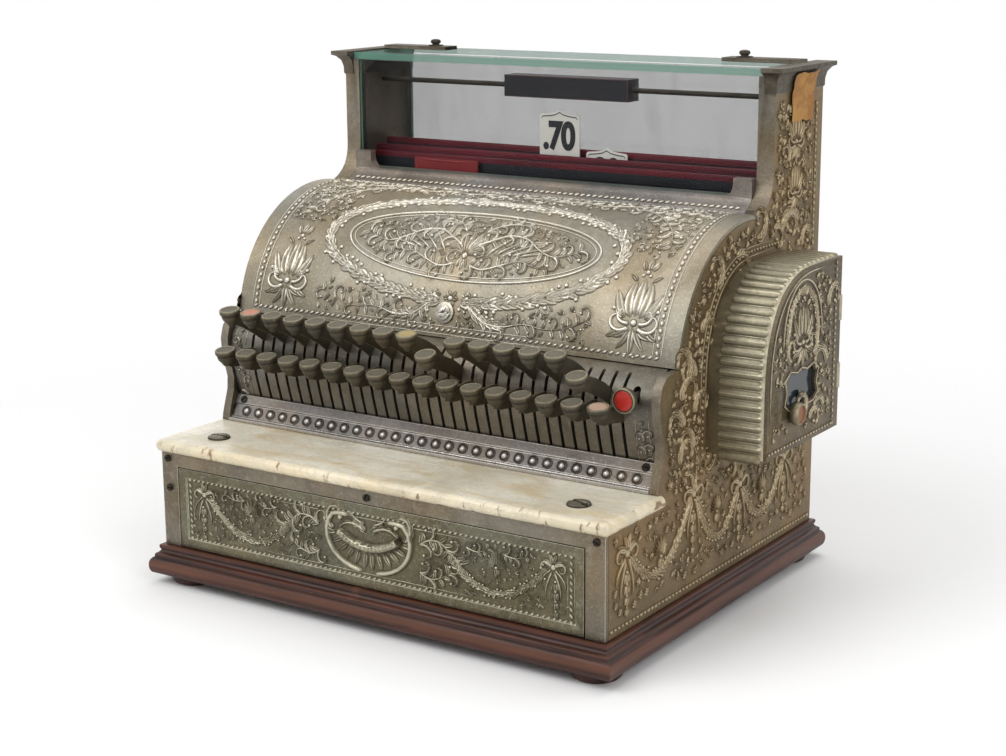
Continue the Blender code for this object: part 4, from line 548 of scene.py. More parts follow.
def buildRowTree():
    # sets one shape along a line, square to the skin the line lies on
    tree = bpy.data.node_groups.new("rowAlongLine", "GeometryNodeTree")
    ids = {}
    for name, (kind, value) in rowInputs.items():
        socket = tree.interface.new_socket(name=name, in_out="INPUT", socket_type="NodeSocket" + kind)
        ids[name] = socket.identifier
        if value is not None:
            socket.default_value = value
    tree.interface.new_socket(name="Row", in_out="OUTPUT", socket_type="NodeSocketGeometry")

    def add(kind, values=None, **settings):
        return addNode(tree, kind, values, **settings).outputs

    given = add("NodeGroupInput")
    even = add("GeometryNodeResampleCurve", {"Curve": add("GeometryNodeMeshToCurve", {"Mesh": given["Line"]})[0],
                                             "Length": given["Spacing"]}, mode="LENGTH")[0]
    points = add("GeometryNodeCurveToPoints", {"Curve": even}, mode="EVALUATED")
    outward = add("GeometryNodeInputNamedAttribute", {"Name": "outward"}, data_type="FLOAT_VECTOR")[0]
    axes = add("FunctionNodeAxesToRotation", {"Primary Axis": outward, "Secondary Axis": points["Tangent"]},
               primary_axis="Z", secondary_axis="X")[0]
    least = add("ShaderNodeMath", {0: given["Unevenness"], 1: -1}, operation="MULTIPLY")[0]
    wobble = add("FunctionNodeRandomValue", {2: least, 3: given["Unevenness"], "Seed": given["Seed"]},
                 data_type="FLOAT")[1]
    lean = add("ShaderNodeCombineXYZ", {"Z": add("ShaderNodeMath", {0: given["Slant"], 1: wobble})[0]})[0]
    turned = add("FunctionNodeRotateRotation", {0: axes, 1: add("FunctionNodeEulerToRotation", {0: lean})[0]},
                 rotation_space="LOCAL")[0]
    grown = add("ShaderNodeVectorMath", {0: given["Size"], "Scale": add("ShaderNodeMath", {0: wobble, 1: 1})[0]},
                operation="SCALE")[0]
    shape = add("GeometryNodeObjectInfo", {"Object": given["Shape"]})["Geometry"]
    placed = add("GeometryNodeInstanceOnPoints", {"Points": points["Points"], "Instance": shape,
                                                  "Rotation": turned, "Scale": grown})[0]
    real = add("GeometryNodeRealizeInstances", {0: placed})[0]
    add("NodeGroupOutput", {0: add("GeometryNodeSetMaterial", {"Geometry": real, "Material": given["Finish"]})[0]})
    return tree, ids


rowTree, rowIds = buildRowTree()


def rowMesh(name, lines, shape, finishName, spacing, size=(1, 1, 1), slant=0.0, unevenness=0.0, seed=1):
    # lines: lists of (place, outward) pairs; returns a plain mesh
    bm = bmesh.new()
    layer = bm.verts.layers.float_vector.new("outward")
    for line in lines:
        last = None
        for spot, outward in line:
            vert = bm.verts.new(spot)
            vert[layer] = outward
            if last:
                bm.edges.new((last, vert))
            last = vert
    guide = bpy.data.meshes.new(name + "Line")
    bm.to_mesh(guide)
    bm.free()
    holder = newObject(name + "Line", guide)
    row = holder.modifiers.new("row", "NODES")
    row.node_group = rowTree
    for key, value in (("Shape", shape), ("Spacing", spacing), ("Size", size), ("Slant", slant),
                       ("Unevenness", unevenness), ("Seed", seed), ("Finish", finishes[finishName])):
        row[rowIds[key]] = value
    return plainMesh(holder, name)


def makePearl(steps=3):
    # a half ball of radius 1 on a short skirt that sinks into the skin
    angles = [math.pi / 2 * i / steps for i in range(steps)]
    profile = [(1.0, -0.4)] + [(math.cos(a), math.sin(a)) for a in angles] + [(0.0, 1.0)]
    # crests: dark with grime and painted shade at the foot, rubbed metal and a painted highlight at the top
    crests = [0.0] + [0.08 + 0.92 * math.sin(a) for a in angles] + [1.0]
    return template("pearlShape", turnedShape(profile, 9, crests=crests), "nickel")


pearl = makePearl()


def lineOn(surface, points):
    # a flat line laid on a skin, with the skin's outward direction at each point
    small = 0.0005
    line = []
    for u, v in points:
        spot = surface(u, v, 0)
        line.append((spot, (surface(u, v, small) - spot).normalized()))
    return line


def straight(start, end, count=2):
    return [(start[0] + (end[0] - start[0]) * i / (count - 1), start[1] + (end[1] - start[1]) * i / (count - 1))
            for i in range(count)]


def loopOf(points):
    # the sides of a closed outline, as pairs of corners
    return zip(points, points[1:] + points[:1])


def rectangle(halfWidth, low, high, middle=0.0):
    left, right = middle - halfWidth, middle + halfWidth
    return [(left, low), (right, low), (right, high), (left, high)]


def turns(start, end, count):
    # even steps from start to end, mostly of an angle in degrees
    return [start + (end - start) * i / count for i in range(count + 1)]


def ovalPath(centreU, centreV, a, b, angles):
    return [(centreU + a * math.cos(math.radians(t)), centreV + b * math.sin(math.radians(t))) for t in angles]


# carved ornament: every leaf, scroll and bead is a closed little body sunk into its skin

sections = {
    "leaf": ((-1, 0.02, 0.04), (-0.5, 0.92, 1.0), (0, 0.42, 0.28), (0.5, 0.92, 1.0), (1, 0.02, 0.04)),
    "stem": ((-1, 0.02, 0.04), (-0.58, 0.8, 0.75), (0, 1.0, 1.0), (0.58, 0.8, 0.75), (1, 0.02, 0.04)),
    "line": ((-1, 0.02, 0.08), (-0.5, 0.9, 0.85), (0, 1.0, 1.0), (0.5, 0.9, 0.85), (1, 0.02, 0.08)),
}
carving = {"sink": 0.0004, "height": 0.0016, "skirt": 0.0009, "foot": 0.1}
thinLine = ("line", 0.0005, 0.0007)  # kind, half width, height


def newCarving(surface):
    return {"bm": newShape(), "surface": surface, "taken": []}


def strokeShape(kind, t):
    if kind == "leaf":
        return max(0.0, math.sin(math.pi * t ** 0.72)) ** 0.8
    if kind == "stem":
        return min(1.0, t / 0.06) ** 0.5 * (1 - 0.68 * t) * min(1.0, (1 - t) / 0.05) ** 0.5
    return 1.0


def drawStroke(work, path, kind, width, height, closed=False):
    # a skirt round a modelled middle, its foot dark with grime and painted shade and its ridge bright with a
    # painted highlight; open strokes run out to a point at both ends
    bm, surface, sink = work["bm"], work["surface"], -carving["sink"]
    last = len(path) - 1
    rings = []
    for i, (u, v) in enumerate(path):
        if not closed and i in (0, last):
            rings.append(addRing(bm, [surface(u, v, sink)], carving["foot"]))
            continue
        before, after = path[(i - 1) % len(path)], path[(i + 1) % len(path)]
        du, dv = after[0] - before[0], after[1] - before[1]
        length = math.hypot(du, dv) or 1.0
        grow = strokeShape(kind, i / last) if not closed else 1.0
        w = width * grow
        lift = height * grow ** 0.6
        skirt = w + min(carving["skirt"], w * 0.9)
        spots, crests = [], []
        for side, up, shine in ((-1, sink, 0.5), *sections[kind], (1, sink, 0.5)):
            reach = skirt if up < 0 else w
            spots.append(surface(u - dv / length * reach * side, v + du / length * reach * side,
                                 lift * up if up > 0 else up))
            crests.append(shine * min(1.0, 0.4 + grow) if up > 0.5 else shine)
        rings.append(addRing(bm, spots, crests))
        work["taken"].append((u, v, w))
    skinRings(bm, rings + rings[:1] if closed else rings)


def drawBead(work, u, v, radius, height, sides=8):
    bm, surface = work["bm"], work["surface"]
    rings = []
    # a dark ring of grime and painted shade at its foot, rubbed metal and a painted highlight on its top
    for share, up, shine in ((1.45, -1, 0.5), (1.0, 0.04, 0.04), (0.84, 0.55, 0.7), (0.5, 0.9, 1.0)):
        rings.append(addRing(bm, [surface(u + x, v + y, height * up if up > 0 else -carving["sink"])
                                  for x, y in circle(radius * share, sides)], shine))
    rings.append(addRing(bm, [surface(u, v, height)], 1.0))
    bm.faces.new(rings[0][::-1])
    skinRings(bm, rings)
    work["taken"].append((u, v, radius))


def bentPath(x, y, heading, length, bend=0.0, coil=0.0):
    # bend: how far it turns in all, in degrees; coil: how much more it turns towards its end
    steps = 5 + int(abs(bend + coil) / 26)
    points = [(x, y)]
    for i in range(steps):
        t = (i + 0.5) / steps
        a = math.radians(heading + bend * t + coil * t * t)
        x += math.cos(a) * length / steps
        y += math.sin(a) * length / steps
        points.append((x, y))
    return points


def setIn(path, at, turn, size, flip):
    a = math.radians(turn)
    c, s = math.cos(a), math.sin(a)
    return [(at[0] + flip * size * (x * c - y * s), at[1] + size * (x * s + y * c)) for x, y in path]


def stamp(work, motif, at, turn=0.0, size=0.01, flip=1, height=None):
    height = height or carving["height"]
    for kind, x, y, heading, length, bend, coil, width in motifs[motif]:
        if kind == "bead":
            (u, v), = setIn([(x, y)], at, turn, size, flip)
            drawBead(work, u, v, width * size, min(height, width * size * 1.1))
        else:
            path = setIn(bentPath(x, y, heading, length, bend, coil), at, turn, size, flip)
            drawStroke(work, path, kind, width * size, height)


def both(rows):
    # the rows and their mirror images about the motif's own middle line
    mirrored = [(k, -x, y, 180 - h, length, -bend, -coil, w) for k, x, y, h, length, bend, coil, w in rows]
    return rows + mirrored


motifs = {  # rows: kind, x, y, heading, length, bend, coil and half width, lengths in shares of the motif's size
    "lily": [("leaf", 0, -0.02, 90, 0.64, 0, 0, 0.1), ("bead", 0, -0.08, 0, 0, 0, 0, 0.055),
             ("bead", 0, 0.67, 0, 0, 0, 0, 0.036), ("leaf", 0, 0.7, 90, 0.22, 0, 0, 0.045),
             ("leaf", 0, -0.13, -90, 0.42, 0, 0, 0.06)]
            + both([("leaf", 0.06, -0.03, 62, 0.62, 50, 0, 0.095), ("leaf", 0.13, -0.03, 38, 0.5, 84, -60, 0.08),
                    ("stem", 0.06, -0.09, -6, 0.46, 30, 250, 0.04),
                    ("stem", 0.05, -0.14, -34, 0.66, 60, 250, 0.042),
                    ("leaf", 0.16, -0.02, 20, 0.24, 60, 0, 0.052), ("leaf", 0.24, -0.2, -50, 0.2, 40, 0, 0.046),
                    ("leaf", 0.04, -0.17, -72, 0.36, 30, 0, 0.052),
                    ("leaf", 0.09, -0.18, -48, 0.27, 50, 0, 0.048),
                    ("bead", 0.34, 0.1, 0, 0, 0, 0, 0.034), ("bead", 0.055, 0.62, 0, 0, 0, 0, 0.026),
                    ("leaf", 0.04, 0.7, 50, 0.2, 30, 0, 0.038), ("leaf", 0.12, 0.52, 60, 0.18, -50, 0, 0.036),
                    ("bead", 0.07, -0.54, 0, 0, 0, 0, 0.024)]),
    "curl": [("stem", 0, 0, 20, 1.5, 120, 280, 0.12), ("leaf", 0.1, 0.05, -20, 0.7, -50, 0, 0.13),
             ("leaf", 0.3, 0.1, -50, 0.5, -40, 0, 0.11), ("leaf", -0.05, 0.02, 120, 0.5, 60, 0, 0.11),
             ("bead", 0.46, 0.5, 0, 0, 0, 0, 0.12)],
    "sprig": [("leaf", 0, 0, 90, 1.0, 12, 0, 0.19), ("bead", 0, -0.1, 0, 0, 0, 0, 0.13)]
             + both([("leaf", 0.07, 0.02, 48, 0.75, 30, 0, 0.15), ("leaf", 0.06, -0.08, 5, 0.5, 40, 0, 0.12)]),
    "comma": [("leaf", 0, 0, 80, 1.2, -70, 0, 0.2), ("bead", 0.02, -0.14, 0, 0, 0, 0, 0.16),
              ("leaf", 0.1, 0.02, 30, 0.7, -50, 0, 0.15)],
    "leaf": [("leaf", 0, -0.5, 88, 1.1, 8, 0, 0.24)],
    "husk": [("leaf", 0, 0, -90, 1.0, 0, 0, 0.2), ("bead", 0, 0.05, 0, 0, 0, 0, 0.14)]
            + both([("leaf", 0.08, 0, -60, 0.82, -26, 0, 0.15)]),
    "rosette": [("bead", 0, 0, 0, 0, 0, 0, 0.2)] + [("leaf", 0.14 * math.cos(math.radians(a)),
                                                     0.14 * math.sin(math.radians(a)), a, 0.46, 0, 0, 0.19)
                                                    for a in range(0, 360, 60)],
    "palm": [("leaf", 0, 0, 90, 1.0, 0, 0, 0.085), ("bead", 0, -0.05, 0, 0, 0, 0, 0.1)]
            + both([("leaf", 0.03, 0, 90 - a, 1.0 - a * 0.0045, a * 0.55, -a * 1.1, 0.078)
                    for a in (17, 34, 51, 68, 85)]),
    "bow": [("bead", 0, 0, 0, 0, 0, 0, 0.13)]
           + both([("stem", 0.05, 0.0, 62, 1.15, -150, -190, 0.066),
                   ("stem", 0.02, -0.05, -72, 1.35, 40, -80, 0.058),
                   ("stem", 0.05, -0.03, -50, 1.0, 60, -120, 0.05),
                   ("leaf", 0.04, 0.08, 40, 0.5, -40, 0, 0.1), ("leaf", 0.01, 0.1, 80, 0.5, -20, 0, 0.09),
                   ("stem", 0.03, 0.03, 12, 0.6, 60, -110, 0.07)]),
}


def garland(work, path, size, rng, berries=1.0, spreadAngle=34, height=None):
    # leaves along a path, one between each pair, with berries among them
    height = height or carving["height"]
    carried = 0.0
    step = size * 0.5
    for (ax, ay), (bx, by) in zip(path, path[1:]):
        run = math.hypot(bx - ax, by - ay)
        heading = math.degrees(math.atan2(by - ay, bx - ax))
        across = (-(by - ay) / run, (bx - ax) / run)
        while carried < run:
            x, y = ax + (bx - ax) * carried / run, ay + (by - ay) * carried / run
            for side in (-1, 0, 1):
                turn = heading + side * spreadAngle + rng.uniform(-13, 13)
                leafSize = size * rng.uniform(0.85, 1.15) * (1.0 if side else 0.9)
                drawStroke(work, bentPath(x, y, turn, leafSize, -side * rng.uniform(20, 55)), "leaf",
                           leafSize * 0.25, height * (1.0 if side else 1.2))
            if rng.random() < berries:
                off = rng.choice((-1, 1)) * rng.uniform(0.3, 0.62) * size
                drawBead(work, x + across[0] * off, y + across[1] * off, size * 0.15, height * 1.1)
            carried += step
        carried -= run


def leafScroll(work, at, heading, length, flip, width, height=None, turns=270, flower=True):
    # a stem that winds into its eye, with bold leaves outside it and small ones inside
    height = height or carving["height"]
    path = bentPath(at[0], at[1], heading, length, flip * turns * 0.36, flip * turns * 0.72)
    drawStroke(work, path, "stem", width, height)
    count = len(path)
    for i in range(0, count - 3, 2):
        (ax, ay), (bx, by) = path[i], path[i + 1]
        tangent = math.degrees(math.atan2(by - ay, bx - ax))
        leafLength = length * 0.3 * (1 - 0.5 * i / count)
        drawStroke(work, bentPath(ax, ay, tangent - flip * 38, leafLength, flip * 74), "leaf",
                   leafLength * 0.21, height * 0.95)
        drawStroke(work, bentPath(bx, by, tangent - flip * 66, leafLength * 0.5, flip * 60), "leaf",
                   leafLength * 0.12, height * 0.75)
        if i < count * 0.4:
            drawStroke(work, bentPath(ax, ay, tangent + flip * 36, leafLength * 0.7, -flip * 60), "leaf",
                       leafLength * 0.15, height * 0.8)
    if flower:
        drawBead(work, *path[-1], width * 1.25, height * 1.1)
    return path


def smoothPath(points, cuts=5):
    # the same line drawn as a flowing curve
    ends = [points[0], *points, points[-1]]
    flowing = []
    for a, b, c, d in zip(ends, ends[1:], ends[2:], ends[3:]):
        for k in range(cuts):
            t = k / cuts
            flowing.append(tuple(0.5 * (2 * q + (r - p) * t + (2 * p - 5 * q + 4 * r - w) * t * t
                                        + (3 * q - p - 3 * r + w) * t ** 3) for p, q, r, w in zip(a, b, c, d)))
    return flowing + [points[-1]]


def vine(work, points, size, seed, height=None):
    # a wandering stem that throws a curl now to one side and now to the other, with leaves between
    rng = random.Random(seed)
    height = height or carving["height"]
    path = smoothPath(points)
    drawStroke(work, path, "stem", size * 0.085, height)
    side = rng.choice((-1, 1))
    for i in range(1, len(path) - 1, 2):
        (ax, ay), (bx, by) = path[i], path[i + 1]
        tangent = math.degrees(math.atan2(by - ay, bx - ax))
        if i % 4 == 1:
            side = -side
            leafScroll(work, (ax, ay), tangent + side * rng.uniform(12, 30), size * rng.uniform(1.1, 1.5),
                       side, size * 0.075, height, 230)
        turn = -side * rng.uniform(28, 56)
        drawStroke(work, bentPath(ax, ay, tangent + turn, size * rng.uniform(0.55, 0.8), turn * 1.2), "leaf",
                   size * 0.135, height)


def within(point, outline):
    x, y = point
    inside = False
    for (ax, ay), (bx, by) in loopOf(outline):
        if (ay > y) != (by > y) and x < (bx - ax) * (y - ay) / (by - ay) + ax:
            inside = not inside
    return inside


def fillWith(work, inside, low, high, spacing, names, size, seed, tries=5000, height=None):
    # scatters small motifs over what the main ones leave bare, none too near another
    rng = random.Random(seed)
    grid = {}

    def note(spots):
        for u, v, r in spots:
            grid.setdefault((int(u / spacing), int(v / spacing)), []).append((u, v, r))

    note(work["taken"])
    for _ in range(tries):
        u, v = rng.uniform(low[0], high[0]), rng.uniform(low[1], high[1])
        name, turn, flip = rng.choice(names), rng.uniform(0, 360), rng.choice((-1, 1))
        share = rng.uniform(0.8, 1.15)
        if not inside(u, v):
            continue
        key = (int(u / spacing), int(v / spacing))
        near = [t for i in (-1, 0, 1) for j in (-1, 0, 1) for t in grid.get((key[0] + i, key[1] + j), ())]
        if any(math.hypot(u - a, v - b) < r + spacing * 0.62 for a, b, r in near):
            continue
        start = len(work["taken"])
        stamp(work, name, (u, v), turn, size * share, flip, height)
        note(work["taken"][start:])


def carvedPiece(nodeName, name, work, extraMeshes, finishName):
    mesh = meshOf(name, work["bm"], [finishName], 60)
    pieceFor(nodeName, name, joinMeshes(name, [mesh] + extraMeshes) if extraMeshes else mesh)


# the skins that ornament lies on

def onLid(u, v, h):
    angle = lidForm["frontAngle"] - v / lidForm["radius"]
    r = lidForm["radius"] + h
    return at(u, lidForm["centre"][0] + r * math.cos(angle), lidForm["centre"][1] + r * math.sin(angle))


def onRightSide(u, v, h):
    return at(cabinet["halfWidth"] + h, u, v)


def onLeftSide(u, v, h):
    return at(-cabinet["halfWidth"] - h, u, v)


def onDoor(u, v, h):
    return at(printerBox["side"] + h, u, v)


def onDrawer(u, v, h):
    return at(u, drawerLook["fieldDepth"] - h, v)


def onBack(u, v, h):
    return at(u, backLook["fieldDepth"] + h, v)


def skinOf(nodeName):
    bm = bmesh.new()
    bm.from_mesh(nodes[nodeName].data)
    tree = BVHTree.FromBMesh(bm)
    bm.free()
    return tree


def dropOn(tree, start, direction):
    spot, normal, _, _ = tree.ray_cast(at(*start), Vector(direction))
    return spot, -normal if normal.dot(Vector(direction)) > 0 else normal


printerBox = {
    "side": 0.285, "front": 0.165, "back": 0.306, "floor": 0.151, "top": 0.301,
    "curveDepth": 0.085, "curveHeight": 0.096, "power": 2.4, "steps": 28,
}
drawerLook = {"edge": 0.2108, "top": 0.1098, "short": 0.0011, "fieldDepth": 0.002, "halfField": 0.2025,
              "low": 0.0455, "high": 0.1015, "spacing": 0.0052, "grid": 0.003, "grimeAndShadeReach": 0.005, "grimeAndShade": 0.22}
backLook = {"fieldDepth": 0.3749, "half": 0.2, "low": 0.06, "high": 0.325}


def printerLine(outset=0.0):
    # up the box's front, over its curve and along its top, as (depth, height)
    deep, high = printerBox["curveDepth"] + outset, printerBox["curveHeight"] + outset
    centre = (printerBox["front"] + printerBox["curveDepth"], printerBox["top"] - printerBox["curveHeight"])
    power = 2 / printerBox["power"]
    line = [(printerBox["front"] - outset, printerBox["floor"])]
    for i in range(printerBox["steps"] + 1):
        a = math.pi / 2 * i / printerBox["steps"]
        line.append((centre[0] - deep * max(0.0, math.cos(a)) ** power, centre[1] + high * math.sin(a) ** power))
    return line + [(printerBox["back"], printerBox["top"] + outset)]


print("ornament tools ready")

# the cabinet's solids, with their own finishes

dressed = [
    ("front_frame", "frontFrame", "frame", 0.0005),
    ("back_cover", "backCover", "olive", 0.0003),
    ("stud_rail", "studRail", "silver", 0.0004),
    ("key_comb", "keyComb", "comb", 0.0),
    ("key_shaft", "keyShaft", "steel", 0.0),
    ("window_frame", "windowFrame", "silver", 0.0),
    ("indicator_rail", "indicatorRail", "railPaint", 0.0),
    ("sign_bar", "signBar", "blackJapan", 0.0006),
    ("drawer_tray", "drawerTray", "bareTrayWood", 0.0005),
    ("printer_cover", "printerCover", "ribbed", 0.0),
    ("printer_door", "printerDoor", "door", 0.0),
    ("lid_lock", "lidLock", "comb", 0.0004),
    ("ticket_roll", "ticketRoll", "rollPaper", 0.0004),
    ("flag_amount", "flagAmount", "whiteEnamel", 0.0),
    ("flag_second", "flagSecond", "whiteEnamel", 0.0),
    ("flag_credit", "flagCredit", "redEnamel", 0.0),
]
signLook = {"blockHalf": 0.075, "rod": "darkIron", "rodCrest": 0.3}
for nodeName, pieceName, finishName, bevel in dressed:
    # the printer cover gets a high crest all over: a painted highlight that brightens the strip the side casting
    # shades from the key lamp
    bm = dressNode(nodeName, bevel, plain=0.92 if nodeName == "printer_cover" else 0.5)
    if nodeName == "sign_bar":  # only its block is japanned, the rod is bare
        sortFaces(bm, lambda spot, normal: int(abs(spot.x - home.x) > signLook["blockHalf"]))
        crest = bm.verts.layers.float["crest"]
        for vert in {v for f in bm.faces if f.material_index for v in f.verts}:
            vert[crest] = signLook["rodCrest"]
        finishNode(bm, nodeName, pieceName, [finishName, signLook["rod"]])
    else:
        finishNode(bm, nodeName, pieceName, [finishName])

for nodeName, pieceName in (("front_glass", "frontGlass"), ("rear_glass", "rearGlass"), ("top_glass", "topGlass")):
    size = [high - low for low, high in zip(*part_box(nodeName))]
    thin = size.index(min(size))
    pane = dressNode(nodeName, 0.0004)
    sortFaces(pane, lambda spot, normal: int(abs(normal[thin]) <= 0.9))
    face = "rearGlass" if nodeName == "rear_glass" else "paneGlass"
    finishNode(pane, nodeName, pieceName, [face, "edgeGlass"], 30)
print("solids dressed:", len(dressed) + 3)

# plinth: a moulding swept round the case, on four turned feet

plinthLook = {
    "foot": 0.01, "height": 0.026, "overhang": 0.0117, "rim": 0.042, "recess": 0.013, "stations": 26,
    # outline: share of the overhang, share of the height, crest; low crests get painted shade, high ones worn
    # edges with a painted highlight
    "outline": ((0.1, 1.0, 0.6), (0.22, 1.0, 1.0), (0.35, 0.985, 0.9), (0.37, 0.93, 0.5), (0.36, 0.86, 0.2),
                (0.28, 0.82, 0.0), (0.31, 0.77, 0.2), (0.42, 0.72, 0.6), (0.6, 0.675, 0.9), (0.645, 0.64, 0.8),
                (0.64, 0.585, 0.1), (0.66, 0.56, 0.0), (0.78, 0.53, 0.6), (0.89, 0.47, 0.9), (0.97, 0.39, 1.0),
                (1.0, 0.29, 1.0), (0.995, 0.2, 0.8), (0.96, 0.11, 0.5), (0.9, 0.04, 0.3), (0.84, 0.0, 0.2)),
    "footProfile": ((0.0, -0.0), (0.0186, 0.0), (0.02, 0.001), (0.0213, 0.0032), (0.0215, 0.0052),
                    (0.0208, 0.0072), (0.0198, 0.0088), (0.0194, 0.0102), (0.019, 0.0135), (0.0, 0.0135)),
}


def makePlinth():
    half, depth, look = cabinet["halfWidth"], cabinet["depth"], plinthLook
    foot, rise, rim = look["foot"], look["height"], -look["rim"]
    bm = newShape()
    grainLayer = bm.loops.layers.float_vector.new("grain")
    levels = [(rim, foot + rise, 0.5)]
    levels += [(look["overhang"] * out, foot + rise * up, shine) for out, up, shine in look["outline"]]
    levels += [(rim, foot, 0.3), (rim, foot + look["recess"], 0.3)]
    rings = [addRing(bm, [at(x, y, height) for x, y in rectangle(half + out, -out, depth + out)], shine)
             for out, height, shine in levels]
    for top, low in zip(rings, rings[1:]):
        for k in range(4):
            n = (k + 1) % 4
            face = bm.faces.new((top[k], low[k], low[n], top[n]))
            for loop in face.loops:
                x, y, z = loop.vert.co
                loop[grainLayer] = (x, y, z) if k % 2 == 0 else (y + 1, x, z)
    for cover in (rings[0], rings[-1][::-1]):
        face = bm.faces.new(cover)
        for loop in face.loops:
            loop[grainLayer] = loop.vert.co
    for x in (0.018 - half, half - 0.018):
        for y in (0.018, depth - 0.018):
            turnedFoot = turnedShape(plinthLook["footProfile"], 40, place=at(x, y, 0))
            layer = turnedFoot.loops.layers.float_vector.new("grain")
            for face in turnedFoot.faces:
                for loop in face.loops:
                    loop[layer] = loop.vert.co
            bm.from_mesh(meshOf("turnedFoot", turnedFoot, ["polishedMahogany"]))
    mesh = meshOf("plinthMoulding", bm, ["polishedMahogany"], 42)
    pieceFor("plinth", "plinthMoulding", mesh, True)


makePlinth()
print("plinth made")

# marble: a slab with a full nosing, chipped along its front

marbleLook = {
    "low": (-0.235, -0.005, 0.123), "high": (0.235, 0.08604, 0.134), "nosing": 0.0054, "corner": 0.006,
    "spacing": 0.0016, "chips": 0.001, "seed": (3.1, 7.7, 1.3), "edge": 9,
    "biteScale": 75, "biteFrom": 0.3, "biteGain": 2.4, "ripple": 0.14, "coverInset": 0.004,
}


def makeMarbleSlab():
    low, high, r, corner = marbleLook["low"], marbleLook["high"], marbleLook["nosing"], marbleLook["corner"]
    outline = [(low[0], high[1])]
    for cx, start in ((low[0] + corner, 180), (high[0] - corner, 270)):
        outline += ovalPath(cx, low[1] + corner, corner, corner, [start + 15 * k for k in range(7)])
    outline.append((high[0], high[1]))
    line = [outline[0]]
    for a, b in zip(outline, outline[1:]):
        count = max(1, round(math.dist(a, b) / marbleLook["spacing"]))
        line += [(a[0] + (b[0] - a[0]) * k / count, a[1] + (b[1] - a[1]) * k / count) for k in range(1, count + 1)]
    bm = newShape()
    crest = bm.verts.layers.float["crest"]
    middle, half = (low[2] + high[2]) / 2, (high[2] - low[2]) / 2
    steps = marbleLook["edge"]
    rings = []
    for i in range(steps + 1):
        a = math.pi * (0.5 - i / steps)
        inset = r * (1 - math.cos(a))
        spots = []
        for k, (x, y) in enumerate(line):
            before, after = line[max(0, k - 1)], line[min(len(line) - 1, k + 1)]
            along = Vector((after[0] - before[0], after[1] - before[1])).normalized()
            spot = Vector((x - along.y * inset, y + along.x * inset if 0 < k < len(line) - 1 else y,
                           middle + half * math.sin(a)))
            bite = noise.fractal(spot * marbleLook["biteScale"] + Vector(marbleLook["seed"]), 0.9, 2.0, 4)
            deep = max(0.0, bite - marbleLook["biteFrom"]) * marbleLook["biteGain"]
            bite = deep + abs(bite) * marbleLook["ripple"]
            spot.x -= along.y * marbleLook["chips"] * bite
            if 0 < k < len(line) - 1:
                spot.y += along.x * marbleLook["chips"] * bite
            spots.append(home + spot)
        rings.append(addRing(bm, spots, 0.4 + 0.6 * math.cos(a)))
    skinRings(bm, rings)
    for cover in (rings[0][::-1], rings[-1]):
        face = bm.faces.new(cover)
        bmesh.ops.inset_individual(bm, faces=[face], thickness=marbleLook["coverInset"])
        for vert in face.verts:
            vert[crest] = 0.0
    mesh = meshOf("marbleSlab", bm, ["marble"], 60)
    pieceFor("marble_shelf", "marbleSlab", mesh, True)


makeMarbleSlab()
print("marble made")

# lid ornament

lidCarving = {
    "oval": (0.003, 0.089, 0.1305, 0.0385), "wreath": (0.003, 0.09, 0.152, 0.0585),
    "lily": (0.1815, 0.0375, 0.06),
    "borderSide": 0.2105, "borderLow": 0.0065, "borderHigh": 0.1895, "spacing": 0.006, "leaf": 0.014,
}
lidShell = {
    "half": 0.23, "thickness": 0.0035, "columns": 240, "rows": 104, "grimeAndShadeReach": 0.0045, "grimeAndShade": 0.19,
    "innerCrest": 0.4, "lock": (0.0, 0.0215, 0.0078),
    "hinges": (0.171, 0.0186, 0.0066),  # middle, half width and how far the cut reaches forward
}
lidVines = (  # (u, v) from the oval's centre, drawn on both halves; then the size of the curls
    (((0.006, -0.004), (0.02, 0.004), (0.036, 0.012), (0.054, 0.01), (0.07, 0.0), (0.086, -0.006),
      (0.102, -0.002), (0.112, 0.004)), 0.0185),
    (((0.006, -0.022), (0.022, -0.026), (0.04, -0.02), (0.056, -0.014), (0.072, -0.018),
      (0.088, -0.018)), 0.016),
    (((0.01, 0.012), (0.02, 0.022), (0.036, 0.027), (0.052, 0.025)), 0.015),
)
lowBranches = (((0.02, 0.03), (0.036, 0.018), (0.056, 0.0155), (0.078, 0.02), (0.1, 0.018), (0.122, 0.022),
                (0.138, 0.03)), 0.015)
cornerVines = (
    (((0.128, 0.166), (0.146, 0.16), (0.162, 0.148), (0.176, 0.134), (0.186, 0.118), (0.19, 0.104)), 0.0165),
    (((0.006, 0.168), (0.026, 0.172), (0.048, 0.167), (0.07, 0.172), (0.092, 0.166), (0.112, 0.171),
      (0.132, 0.175),
      (0.152, 0.172), (0.172, 0.166), (0.19, 0.158)), 0.015),
)


